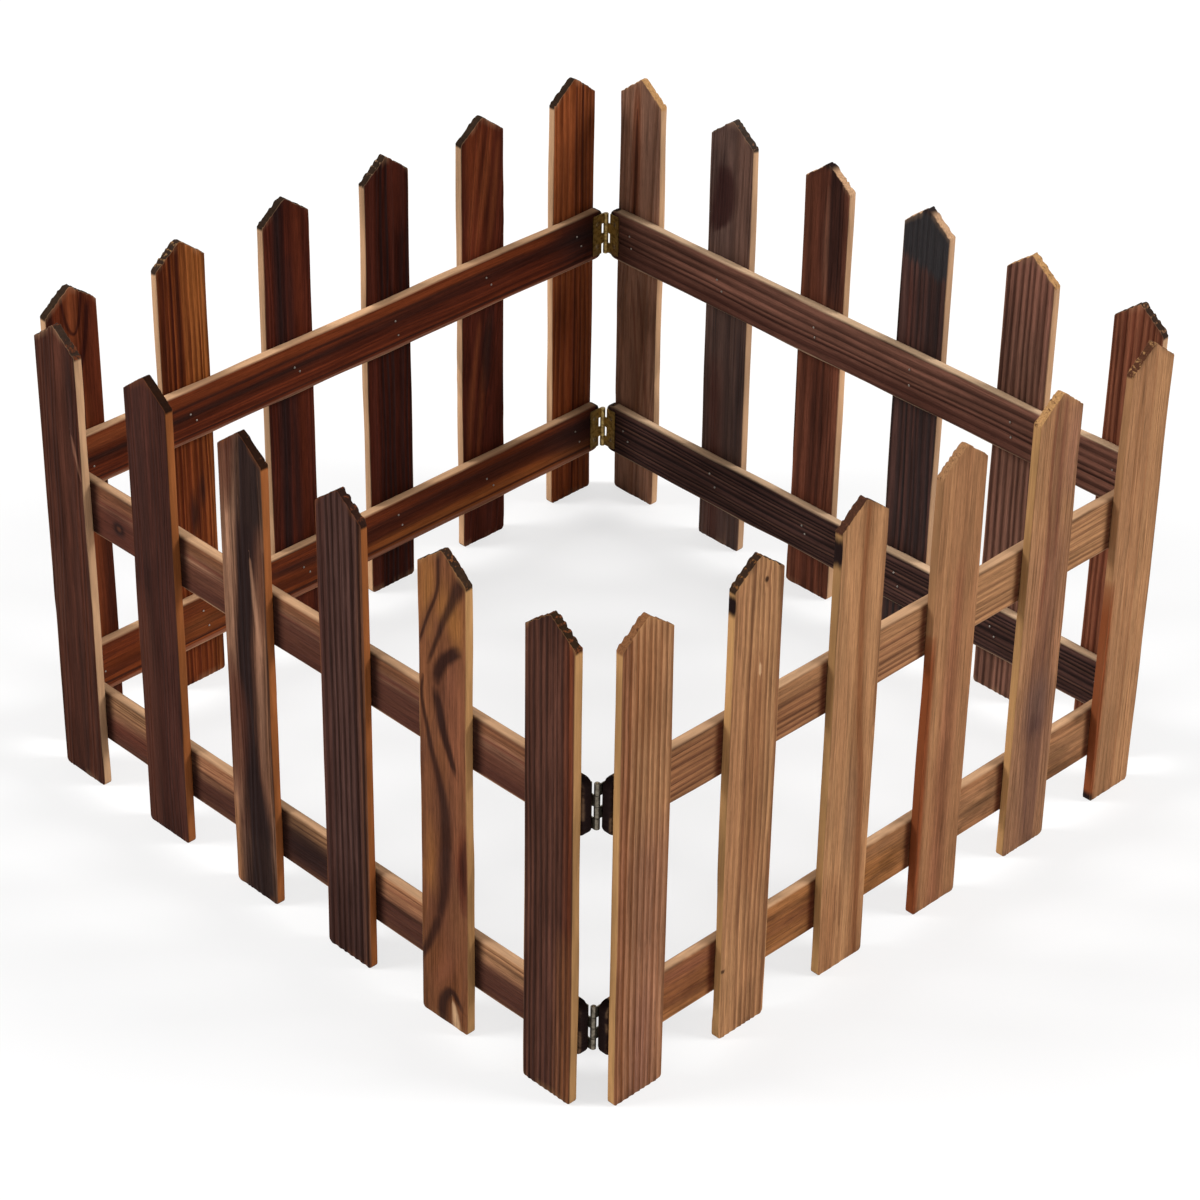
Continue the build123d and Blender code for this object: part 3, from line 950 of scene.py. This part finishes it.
class Nodes:
    """Makes and links shader nodes. A value may be a number, a colour or another node's output."""

    def __init__(self, owner):
        owner.use_nodes = True
        self.tree = owner.node_tree
        self.tree.nodes.clear()

    def put(self, node, **values):
        """Fills a node's named inputs."""
        for key, value in values.items():
            self.fill(node.inputs[key.replace("_", " ")], value)
        return node

    def fill(self, socket, value):
        if isinstance(value, bpy.types.NodeSocket):
            self.tree.links.new(value, socket)
        else:
            socket.default_value = value

    def add(self, kind, *values, **settings):
        """A node with those settings, its first inputs filled with the values."""
        node = self.tree.nodes.new("ShaderNode" + kind)
        for key, value in settings.items():
            setattr(node, key, value)
        for socket, value in zip(node.inputs, values):
            self.fill(socket, value)
        return node

    def attribute(self, name):
        node = self.add("Attribute", attribute_name=name)
        return node.outputs["Vector" if name == "grain" or name.startswith("mark") else "Fac"]

    def math(self, operation, *values):
        return self.add("Math", *values, operation=operation).outputs[0]

    def plus(self, first, second):
        return self.math("ADD", first, second)

    def times(self, first, *factors):
        for factor in factors:
            first = self.math("MULTIPLY", first, factor)
        return first

    def swing(self, noise, share):
        """A noise about zero, times a share."""
        return self.times(self.math("SUBTRACT", noise, NOISE_MIDDLE), share)

    def ease(self, value, *levels):
        """Smooth step between two levels, from 0 to 1 or between two more values."""
        levels = levels if len(levels) > 2 else (*levels, 0.0, 1.0)
        return self.add("MapRange", value, *levels, interpolation_type="SMOOTHSTEP").outputs[0]

    def mix(self, share, first, second):
        node = self.add("Mix", share, data_type="RGBA")
        self.fill(node.inputs[MIX_FIRST], first)
        self.fill(node.inputs[MIX_SECOND], second)
        return node.outputs[MIX_RESULT]

    def vector(self, operation, *values):
        return self.add("VectorMath", *values, operation=operation).outputs[0]

    def scaled(self, colour, factor):
        return self.put(self.add("VectorMath", colour, operation="SCALE"), Scale=factor).outputs[0]

    def noise(self, place, stretch, scale, detail=3.0, roughness=0.55):
        place = self.vector("MULTIPLY", place, (1, 1, stretch))
        node = self.put(self.add("TexNoise"), Vector=place, Scale=scale, Detail=detail, Roughness=roughness)
        return node.outputs["Fac"]

    def far_from(self, place, middle, size):
        """Distance from the middle of an oval, in its half sizes."""
        squeezed = self.vector("MULTIPLY", self.vector("SUBTRACT", place, middle), size)
        return self.add("VectorMath", squeezed, operation="LENGTH").outputs["Value"]

    def finish(self, colour, roughness, height, bump_distance, **constants):
        bump = self.put(self.add("Bump"), Height=height, Distance=bump_distance)
        shader = self.put(self.add("BsdfPrincipled"), Base_Color=colour, Roughness=roughness, **constants)
        self.put(shader, Normal=bump.outputs["Normal"])
        self.add("OutputMaterial", shader.outputs[0])


def shaded(tone, shade=1.0):
    """A tone made lighter or darker."""
    red, green, blue, alpha = linear(TONES[tone])
    return (red * shade, green * shade, blue * shade, alpha)


# Noises of the wood: stretch along the grain, scale, detail and roughness
FIBRE = (0.03, 1.1, 4.0, 0.65)
PORES = (0.07, 3.0, 2.0)
LINES = (0.014, 1.7, 2.0)
STREAK = (0.025, 0.22)
CLOUD = (0.2, 0.05, 2.0)
SPECKS = (0.8, 0.7, 3.0)
SMEAR_SCALE = 0.10
# Levels between which something sets in, and where given what it goes from and to
LINE_LEVELS = (0.55, 0.66)
YEAR_LEVELS = (0.0, 1.0, 0.65, 1.0)
STREAK_LEVELS = (0.25, 0.75)
SMEAR_LEVELS = (0.35, 0.65)
CLOUD_LIGHT = (0.3, 0.7, 0.9, 1.08)
CUT_FIBRES = (0.35, 0.75, 0.0, 0.45)
CUT_LIGHT = (0.3, 0.7, 0.72, 1.08)
CUT_LEVELS = (0.0, 0.3)
CHAR_LEVELS = (0.2, 0.8)
TOP_FIBRES = (0.35, 0.7)
BURN_LEVELS = (0.02, 0.2)
BURNT_EDGE_LEVELS = (0.55, 0.95)
FIBRE_LIGHT = (0.25, 0.75, 0.76, 1.22)
PORE_LIGHT = (0.3, 0.6, 0.86, 1.06)
LINE_LIGHT = (0.0, 1.0, 1.04, 0.78)
WORN_LEVELS = (0.45, 0.6)
SCORCH_LEVELS = (0.5, 0.38)
WOOD_ROUGHNESS = (0.0, 1.0, 0.75, 0.6)
# Shares of streaks and fibres in a mark's ragged edge, and its swing
RAGGED_STREAKS = 0.6
RAGGED_FIBRES = 0.4
RAGGED_SWING = 0.9
# How far streaks and smears darken and lighten the wood
STREAK_DARK = 0.5
STREAK_PALE = 0.4
SMEAR_PALE = 0.3
# Shares of late wood on cut sides and in specks, of burning at cut ends, and of worn and burnt arrises
CUT_LATE = 0.4
CHAR_SWING = 0.8
SPECK_SHARE = 0.8
SPECK_LATE = 0.2
TOP_BURN = 0.95
END_BURN = 0.95
WEAR = 0.4
SCORCH = 0.6
# Bump: height of late wood and depth of fine lines as shares of the fibres', and the height in all
LATE_HEIGHT = 0.5
LINE_DEPTH = 0.5
WOOD_BUMP = 0.15


def wood_material(name, timber):
    """Charred faces striped by the rings, listed marks, pale sawn edges, burnt ends and worn arrises."""
    style = timber.style
    material = bpy.data.materials.new(name)
    n = Nodes(material)
    grain = n.attribute("grain")
    burn = n.attribute("burn")
    fibre = n.noise(grain, *FIBRE)
    pores = n.noise(grain, *PORES)
    lines = n.ease(n.noise(grain, *LINES), *LINE_LEVELS)
    streak = n.noise(grain, *STREAK)
    smear = n.noise(grain, style["smear"], SMEAR_SCALE)
    cloud = n.noise(grain, *CLOUD)
    # Rings, roughened by the fibres, each with its own strength
    rings = n.plus(n.attribute("rings"), n.swing(fibre, style["ragged"]))
    place = n.math("FRACT", rings)
    late = n.times(n.ease(place, *LATE_RISE), n.ease(place, *LATE_FALL, 1.0, 0.0))
    year = n.put(n.add("TexWhiteNoise", noise_dimensions="1D"), W=n.math("FLOOR", rings))
    late_share = n.times(late, n.ease(year.outputs["Value"], *YEAR_LEVELS), style["contrast"])
    # Marks and spots have ragged edges along the grain
    rough = n.plus(n.times(streak, RAGGED_STREAKS), n.times(fibre, RAGGED_FIBRES))
    rough = n.swing(rough, RAGGED_SWING)
    places = []
    for number, entry in enumerate(style["marks"]):
        parts = n.add("SeparateXYZ", n.attribute(f"mark_{number}"))
        places.append((entry, n.math("ABSOLUTE", parts.outputs[0]), parts.outputs[1]))
    for entry in style["spots"]:
        places.append((entry, n.far_from(grain, *timber.oval(entry)), 1.0))
    covers = [
        (entry, n.times(n.ease(n.plus(far, rough), 1 + entry["soft"], 1 - entry["soft"]), share))
        for entry, far, share in places
    ]

    def painted(colour, which):
        """The colour with those marks and spots over it."""
        for entry, cover in covers:
            if which(entry):
                colour = n.mix(n.times(cover, entry["strength"]), colour, shaded(entry["tone"]))
        return colour

    wood = painted(shaded(style["early"]), lambda entry: entry["under"])
    wood = n.mix(late_share, wood, shaded(style["late"]))
    # Streaks, smears and clouds of soot along the grain
    streaks, mottle = style["streaks"], style["mottle"]
    light = n.ease(streak, *STREAK_LEVELS, 1 - STREAK_DARK * streaks, 1 + STREAK_PALE * streaks)
    light = n.times(light, n.ease(smear, *SMEAR_LEVELS, 1 - mottle, 1 + SMEAR_PALE * mottle))
    wood = n.scaled(wood, n.times(light, n.ease(cloud, *CLOUD_LIGHT)))
    wood = painted(wood, lambda entry: not entry["under"])
    # Sawn edges with finer rings, and burnt cut ends with flecks
    dark = n.plus(n.times(late, CUT_LATE), n.ease(fibre, *CUT_FIBRES))
    edge = n.mix(dark, shaded(style["edge"]), shaded(style["edge"], CUT_SHADE))
    edge = n.scaled(edge, n.ease(smear, *CUT_LIGHT))
    cut = n.attribute("cut")
    charred = n.plus(cut, n.swing(smear, CHAR_SWING))
    charred = n.times(n.ease(charred, *CHAR_LEVELS), n.ease(cut, *CUT_LEVELS))
    specks = n.plus(n.times(n.noise(grain, *SPECKS), SPECK_SHARE), n.times(late, SPECK_LATE))
    begin = FLECK_NONE - FLECK_FALL * style["flecks"]
    specks = n.ease(specks, begin, begin + FLECK_EDGE)
    top = n.mix(n.ease(fibre, *TOP_FIBRES), shaded(style["top"]), shaded(style["top"], CUT_SHADE))
    top = n.mix(specks, top, shaded(style["fleck"], WORN_SHADE))
    edge = n.mix(n.times(charred, TOP_BURN), edge, top)
    edge = painted(edge, lambda entry: entry["strength"] == 1)
    # Rail ends are burnt all round
    ragged = n.times(n.ease(n.plus(burn, rough), *CHAR_LEVELS), n.ease(burn, *BURN_LEVELS))
    wood = n.mix(n.times(ragged, END_BURN), wood, shaded("char"))
    edge = n.mix(n.ease(burn, *BURNT_EDGE_LEVELS), edge, shaded("char"))
    # Fibres, pores and fine dark lines
    fine = n.times(n.ease(fibre, *FIBRE_LIGHT), n.ease(pores, *PORE_LIGHT))
    wood = n.scaled(wood, n.times(fine, n.ease(lines, *LINE_LIGHT)))
    # Arrises are worn paler in places and burnt in others
    arris = n.attribute("arris")
    worn = n.times(arris, n.ease(smear, *WORN_LEVELS), WEAR)
    wood = n.mix(worn, wood, shaded(style["edge"], WORN_SHADE))
    scorched = n.times(arris, n.ease(smear, *SCORCH_LEVELS), SCORCH)
    wood = n.mix(scorched, wood, shaded("char"))
    colour = n.mix(n.attribute("sawn"), wood, edge)
    height = n.plus(fibre, n.times(late, LATE_HEIGHT))
    height = n.math("SUBTRACT", height, n.times(lines, LINE_DEPTH))
    n.finish(colour, n.ease(late, *WOOD_ROUGHNESS), height, WOOD_BUMP * MM, Specular_IOR_Level=style["gloss"])
    return material


# Metal: scales of its tarnish and bump, levels of tarnish, how much rougher it is, and the bump's height
TARNISH_SCALE = 420.0
METAL_BUMP_SCALE = 2600.0
TARNISH_LEVELS = (0.5, 0.85)
TARNISH_ROUGH_LEVELS = (0.3, 0.7)
TARNISH_ROUGHER = 0.2
METAL_BUMP = 0.03


def metal_material(name, bright, dark, roughness, grime):
    """Dull metal with darker tarnish in soft spots."""
    material = bpy.data.materials.new(name)
    n = Nodes(material)
    place = n.add("TexCoord").outputs["Object"]
    spots = n.noise(place, 1, TARNISH_SCALE, detail=4.0)
    fine = n.noise(place, 1, METAL_BUMP_SCALE, detail=2.0)
    share = n.ease(spots, *(level - grime / 2 for level in TARNISH_LEVELS))
    colour = n.mix(share, linear(bright), linear(dark))
    rough = n.ease(spots, *TARNISH_ROUGH_LEVELS, roughness, roughness + TARNISH_ROUGHER)
    n.finish(colour, rough, fine, METAL_BUMP * MM, Metallic=1.0)
    return material


def circle(centre, first, second, radius, segments):
    """Points round a circle, from one axis towards the other."""
    angles = [2 * math.pi * step / segments for step in range(segments)]
    return [centre + first * radius * math.cos(angle) + second * radius * math.sin(angle) for angle in angles]


def add_lathe(points, faces, profile, centre, axes, segments):
    """Adds a turned shape to lists of vertices and faces. The profile is radius and height."""
    start = len(points)
    for radius, height in profile:
        points += circle(centre + axes[2] * height, axes[0], axes[1], radius, segments)
    for low in range(start, start + (len(profile) - 1) * segments, segments):
        for step in range(segments):
            following = (step + 1) % segments
            high = low + segments
            faces.append((low + step, low + following, high + following, high + step))
    faces.append(tuple(reversed(range(start, start + segments))))
    faces.append(tuple(range(len(points) - segments, len(points))))


def dome(radius, rise, sunk, steps):
    """Profile of a low domed head that reaches under the face it stands on."""
    angles = [QUARTER * step / steps for step in range(steps)]
    return [(radius, -sunk)] + [(radius * math.cos(angle), rise * math.sin(angle)) for angle in angles]


def mesh_piece(name, points, faces, material):
    """A piece from vertices in millimetres and faces."""
    mesh = bpy.data.meshes.new(name)
    mesh.from_pydata([tuple(point * MM) for point in points], [], faces)
    mesh.shade_smooth()
    mesh.materials.append(material)
    return new_object(name, mesh)


def fix_normals(piece):
    """Turns all faces of a piece outwards."""
    shape = bmesh.new()
    shape.from_mesh(piece.data)
    bmesh.ops.recalc_face_normals(shape, faces=shape.faces)
    shape.to_mesh(piece.data)
    shape.free()


# Nail heads on the rails' inner faces, two to each picket, set by hand
NAIL_RADIUS = 0.65
NAIL_DOME = 0.3
NAIL_SUNK = 0.4
NAIL_STEPS = 5
NAIL_SEGMENTS = 14
NAIL_SEED = 70
NAIL_SPREAD = 4.0
NAIL_ASIDE = (0.1, 0.8)
NAIL_STRAY_ACROSS = 0.8
NAIL_STRAY_UP = 1.5


def make_nails(panel, number, material):
    """All nail heads of one panel as one piece."""
    random = np.random.default_rng(NAIL_SEED + number)
    along, outward = panel_axes(number)
    profile = dome(NAIL_RADIUS, NAIL_DOME, NAIL_SUNK, NAIL_STEPS)
    points, faces = [], []
    for side in RAILS:
        rail = f"{panel}_rail_{side}"
        middle_height = sum(extent(rail, UP)) / 2
        inner = extent(rail, outward)[0]
        for count in range(1, PICKETS_PER_PANEL + 1):
            middle = sum(extent(f"{panel}_picket_{count}", along)) / 2
            for sign in (-1, 1):
                across = middle + sign * random.uniform(*NAIL_ASIDE) * NAIL_SPREAD
                across += random.normal(0, NAIL_STRAY_ACROSS)
                height = middle_height + sign * NAIL_SPREAD + random.normal(0, NAIL_STRAY_UP)
                centre = along * across + outward * inner + UP * height
                add_lathe(points, faces, profile, centre, (along, UP, -outward), NAIL_SEGMENTS)
    piece = mesh_piece(f"{panel}_nail_heads", points, faces, material)
    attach(piece, f"{panel}_panel")


# Butt hinges, as in the solids
HINGE_LENGTH = 28.0
LEAF_REACH = 10.0
LEAF_THICKNESS = 0.8
KNUCKLES = 4
OWN_KNUCKLES = ((0, 2), (1, 3))
KNUCKLE_GAP = 0.3
NOTCH = 2.65
BARREL_RADIUS = 1.65
BORE_RADIUS = 0.85
PIN_RADIUS = 0.8
PIN_STAND_OUT = 0.4
PIN_TIP = 0.02
PIN_STEPS = 4
PIN_SEGMENTS = 24
LEAF_NEAR = BARREL_RADIUS - LEAF_THICKNESS
LEAF_CORNER = 1.0
LEAF_CORNER_STEPS = 4
LEAF_BEVEL = 0.12
LEAF_BEVEL_STEPS = 2
BARREL_CHAMFER = 0.2
BARREL_SEGMENTS = 32
SHARP_ANGLE = math.radians(35)
# Screws, each turned further than the last, with a cross slot that repeats at these degrees
SCREW_PLACES = (0.22, 0.78)
SCREW_OUT = 6.2
SCREW_RADIUS = 1.5
SCREW_DOME = 0.22
SCREW_SUNK = 0.3
SCREW_STEPS = 7
SCREW_SEGMENTS = 28
SCREW_TURN = 37
SLOT_REPEAT = 90
SLOT_LENGTH = 1.3 * SCREW_RADIUS
SLOT_WIDTH = 0.36
SLOT_DEPTH = 0.3
# The hinges of this corner have a greyer, darker brass than the others
GREY_CORNER = "front_right"


def hinge_bottoms(panel):
    """Heights of the lower ends of a panel's hinges."""
    return [sum(extent(f"{panel}_rail_{side}", UP)) / 2 - HINGE_LENGTH / 2 for side in RAILS]


def knuckle_span(number):
    """Lower and upper end of a knuckle above the hinge's lower end."""
    pitch = HINGE_LENGTH / KNUCKLES
    low = number * pitch + (KNUCKLE_GAP / 2 if number > 0 else 0)
    high = (number + 1) * pitch - (KNUCKLE_GAP / 2 if number < KNUCKLES - 1 else 0)
    return low, high


def leaf_outline(own):
    """A leaf flat: distance from the pin and height, with tongues for its knuckles and round far corners."""
    points = [(0.0 if 0 in own else NOTCH, 0.0)]
    for start, middle in ((-QUARTER, LEAF_CORNER), (0.0, HINGE_LENGTH - LEAF_CORNER)):
        for turn in range(LEAF_CORNER_STEPS + 1):
            angle = start + QUARTER * turn / LEAF_CORNER_STEPS
            out = LEAF_REACH - LEAF_CORNER + LEAF_CORNER * math.cos(angle)
            points.append((out, middle + LEAF_CORNER * math.sin(angle)))
    for number in reversed(range(KNUCKLES)):
        edge = 0.0 if number in own else NOTCH
        low, high = knuckle_span(number)
        points.append((edge, high))
        if number > 0:
            points.append((edge, low))
    return points


def add_leaf(shape, corner, inward, outward, bottom, own):
    """Adds one leaf with its knuckles to a bmesh. Inward runs along the rail, outward out of the square."""
    corner = corner + UP * bottom
    flat = leaf_outline(own)
    ring = [shape.verts.new(corner + inward * x + outward * LEAF_NEAR + UP * z) for x, z in flat]
    plate = shape.faces.new(ring)
    pulled = bmesh.ops.extrude_face_region(shape, geom=[plate])
    moved = [entry for entry in pulled["geom"] if isinstance(entry, bmesh.types.BMVert)]
    bmesh.ops.translate(shape, vec=outward * LEAF_THICKNESS, verts=moved)
    edges = list(dict.fromkeys(edge for vert in ring + moved for edge in vert.link_edges))
    bevel = {"offset": LEAF_BEVEL, "segments": LEAF_BEVEL_STEPS, "affect": "EDGES", "clamp_overlap": True}
    bmesh.ops.bevel(shape, geom=edges, **bevel)
    for number in own:
        low, high = knuckle_span(number)
        profile = [
            (BORE_RADIUS, low),
            (BARREL_RADIUS - BARREL_CHAMFER, low),
            (BARREL_RADIUS, low + BARREL_CHAMFER),
            (BARREL_RADIUS, high - BARREL_CHAMFER),
            (BARREL_RADIUS - BARREL_CHAMFER, high),
            (BORE_RADIUS, high),
        ]
        rings = []
        for radius, height in profile:
            places = circle(corner + UP * height, inward, outward, radius, BARREL_SEGMENTS)
            rings.append([shape.verts.new(place) for place in places])
        for here, there in zip(rings, rings[1:] + rings[:1]):
            for step in range(BARREL_SEGMENTS):
                ahead = (step + 1) % BARREL_SEGMENTS
                shape.faces.new((here[step], here[ahead], there[ahead], there[step]))


def make_leaves(node, panel, corner, inward, outward, own, material, screw_mesh, steel):
    """Both leaves of a corner on one panel, with their screws."""
    shape = bmesh.new()
    bottoms = hinge_bottoms(panel)
    for bottom in bottoms:
        add_leaf(shape, corner, inward, outward, bottom, own)
    bmesh.ops.recalc_face_normals(shape, faces=shape.faces)
    mesh = bpy.data.meshes.new(node + "_brass")
    shape.to_mesh(mesh)
    shape.free()
    mesh.transform(Matrix.Scale(MM, 4))
    mesh.materials.append(material)
    mesh.shade_smooth()
    piece = new_object(node + "_brass", mesh)
    mesh.set_sharp_from_angle(angle=SHARP_ANGLE)
    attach(piece, f"{panel}_panel")
    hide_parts(node)
    # Screws stand on the leaf's inner side
    points, faces = [], []
    for bottom in bottoms:
        for place in SCREW_PLACES:
            base = corner + inward * SCREW_OUT + outward * LEAF_NEAR + UP * (bottom + place * HINGE_LENGTH)
            start = len(points)
            turn = math.radians(SCREW_TURN * start % SLOT_REPEAT)
            first = inward * math.cos(turn) + UP * math.sin(turn)
            second = UP * math.cos(turn) - inward * math.sin(turn)
            points += [base + first * co.x + second * co.y - outward * co.z for co in screw_mesh[0]]
            faces += [tuple(start + index for index in face) for face in screw_mesh[1]]
    screws = mesh_piece(f"{node}_screws", points, faces, steel)
    fix_normals(screws)
    screws.data.set_sharp_from_angle(angle=SHARP_ANGLE)
    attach(screws, f"{panel}_panel")


def screw_head():
    """Vertices and faces of a low domed screw head with a cross slot, standing on its own origin."""
    points, faces = [], []
    profile = dome(SCREW_RADIUS, SCREW_DOME, SCREW_SUNK, SCREW_STEPS)
    add_lathe(points, faces, profile, Vector(), (Vector((1, 0, 0)), Vector((0, 1, 0)), UP), SCREW_SEGMENTS)
    head = new_object("screw_pattern", bpy.data.meshes.new("screw_pattern"))
    head.data.from_pydata([tuple(point) for point in points], [], faces)
    fix_normals(head)
    cutters = []
    for wide, high in ((SLOT_LENGTH, SLOT_WIDTH), (SLOT_WIDTH, SLOT_LENGTH)):
        shape = bmesh.new()
        bmesh.ops.create_cube(shape, size=1.0)
        bmesh.ops.scale(shape, vec=(wide, high, SLOT_DEPTH * 2), verts=shape.verts)
        bmesh.ops.translate(shape, vec=(0, 0, SCREW_DOME), verts=shape.verts)
        cutter = new_object("screw_cutter", bpy.data.meshes.new("screw_cutter"))
        shape.to_mesh(cutter.data)
        shape.free()
        cut = head.modifiers.new("slot", "BOOLEAN")
        cut.operation = "DIFFERENCE"
        cut.solver = "EXACT"
        cut.object = cutter
        cutters.append(cutter)
    bpy.context.view_layer.update()
    made = head.evaluated_get(bpy.context.evaluated_depsgraph_get()).to_mesh()
    points = [vert.co.copy() for vert in made.vertices]
    faces = [tuple(face.vertices) for face in made.polygons]
    for scrap in [head, *cutters]:
        bpy.data.objects.remove(scrap)
    return points, faces


def make_pins(node, panel, corner, material):
    """The two pins of a corner, with domed ends."""
    points, faces = [], []
    along, outward = panel_axes(PANELS.index(panel))
    for bottom in hinge_bottoms(panel):
        low, high = bottom - PIN_STAND_OUT, bottom + HINGE_LENGTH + PIN_STAND_OUT
        profile = []
        for angle in (QUARTER * step / PIN_STEPS for step in range(PIN_STEPS + 1)):
            radius = max(PIN_RADIUS * math.sin(angle), PIN_TIP)
            profile.append((radius, low + PIN_STAND_OUT * (1 - math.cos(angle))))
        profile += [(radius, low + high - height) for radius, height in reversed(profile)]
        add_lathe(points, faces, profile, corner, (along, -outward, UP), PIN_SEGMENTS)
    piece = mesh_piece(node + "_steel", points, faces, material)
    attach(piece, f"{panel}_panel")
    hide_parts(node)


def build_boards():
    """Every picket and rail, each with a material of its own."""
    seed = 0
    for number, panel in enumerate(PANELS):
        from_inside = panel in SEEN_FROM_INSIDE
        boards = [(f"{panel}_picket_{count}", True) for count in range(1, PICKETS_PER_PANEL + 1)]
        boards += [(f"{panel}_rail_{side}", False) for side in RAILS]
        for node, pointed in boards:
            seed += 1
            place = board_place(node, number, pointed)
            timber = Timber(LOOKS[node], seed, place[2][2], pointed, from_inside)
            piece = make_board(node, place, timber, PICKET_ROWS if pointed else RAIL_ROWS)
            piece.data.materials.append(wood_material(node + "_wood", timber))
            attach(piece, f"{panel}_panel")
            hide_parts(node)


def build_metal():
    """Nail heads, hinge leaves, screws and pins."""
    brass = metal_material("antique_brass", "a98f58", "6b5630", roughness=0.35, grime=0.25)
    grey_brass = metal_material("grey_brass", "7e7668", "4a4339", roughness=0.35, grime=0.25)
    steel = metal_material("washed_steel", "a9977a", "5b4a34", roughness=0.3, grime=0.3)
    nail_steel = metal_material("nail_steel", "988f85", "5f564d", roughness=0.3, grime=0.2)
    screw_mesh = screw_head()
    for number, (panel, corner_name) in enumerate(zip(PANELS, CORNERS)):
        make_nails(panel, number, nail_steel)
        following = (number + 1) % len(PANELS)
        along, outward = panel_axes(number)
        next_along, next_outward = panel_axes(following)
        pins = f"{corner_name}_hinge_pins"
        corner = along * sum(extent(pins, along)) / 2 + outward * sum(extent(pins, outward)) / 2
        make_pins(pins, panel, corner, steel)
        leaf_metal = grey_brass if corner_name == GREY_CORNER else brass
        sides = ((panel, -along, outward), (PANELS[following], next_along, next_outward))
        for own, (side, inward, out) in zip(OWN_KNUCKLES, sides):
            node = f"{corner_name}_hinge_leaves_{side}"
            make_leaves(node, side, corner, inward, out, own, leaf_metal, screw_mesh, steel)


# Light levels, as what a white surface that faces the lamp would show: azimuth, elevation, level and softness
WORLD_LEVEL = 0.4
LAMPS = {
    "left": (-40, 38, 0.75, 22),
    "right": (130, 38, 0.75, 22),
}
FLOOR_SIZE = 12000.0
FLOOR_SHADOW = 0.32
FLOOR_TONE = (0.92, 0.92, 0.92, 1)
WHITE = (1, 1, 1, 1)


def white_share(n):
    """Light Path share of rays that see the plain white background."""
    rays = n.add("LightPath")
    seen = n.math("MAXIMUM", rays.outputs["Is Camera Ray"], rays.outputs["Is Glossy Ray"])
    return n.math("MAXIMUM", seen, rays.outputs["Is Transmission Ray"])


def direction(azimuth, elevation):
    """Unit vector from the object towards a viewer. Azimuth 0 is in front, and 90 to the right."""
    a, e = math.radians(azimuth), math.radians(elevation)
    return Vector((math.sin(a) * math.cos(e), -math.cos(a) * math.cos(e), math.sin(e)))


def build_stage():
    """White floor that keeps a soft shadow, white world and two soft lamps."""
    bpy.ops.mesh.primitive_plane_add(size=FLOOR_SIZE * MM)
    floor = bpy.context.object
    floor.name = "floor"
    material = bpy.data.materials.new("floor_white")
    n = Nodes(material)
    diffuse = n.add("BsdfDiffuse", FLOOR_TONE)
    glow = n.times(white_share(n), 1 - FLOOR_SHADOW)
    blend = n.add("MixShader", glow, diffuse.outputs[0], n.add("Emission").outputs[0])
    n.add("OutputMaterial", blend.outputs[0])
    floor.data.materials.append(material)

    world = bpy.data.worlds.new("studio")
    bpy.context.scene.world = world
    n = Nodes(world)
    level = n.math("MULTIPLY_ADD", white_share(n), 1 - WORLD_LEVEL, WORLD_LEVEL)
    n.add("OutputWorld", n.add("Background", WHITE, level).outputs[0])

    for name, (azimuth, elevation, level, softness) in LAMPS.items():
        lamp = bpy.data.lights.new(name, "SUN")
        lamp.energy = level * math.pi
        lamp.angle = math.radians(softness)
        holder = new_object(name, lamp)
        holder.rotation_euler = direction(azimuth, elevation).to_track_quat("Z", "Y").to_euler()


def build_camera():
    """Camera at the photograph's viewing angle."""
    back = direction(CAMERA_AZIMUTH, CAMERA_ELEVATION)
    level_right = UP.cross(back).normalized()
    level_up = back.cross(level_right)
    roll = math.radians(CAMERA_ROLL)
    right = level_right * math.cos(roll) + level_up * math.sin(roll)
    up = level_up * math.cos(roll) - level_right * math.sin(roll)
    data = bpy.data.cameras.new("camera")
    data.sensor_width = SENSOR_WIDTH
    data.lens = SENSOR_WIDTH * FOCAL_PIXELS / IMAGE_PIXELS
    camera = new_object("camera", data)
    place = Matrix((right, up, back)).transposed().to_4x4()
    place.translation = (UP * TARGET_HEIGHT + back * CAMERA_DISTANCE) * MM
    camera.matrix_world = place
    bpy.context.scene.camera = camera


build_boards()
build_metal()
build_stage()
build_camera()
bpy.context.scene.view_settings.view_transform = "Standard"

bpy.context.view_layer.update()
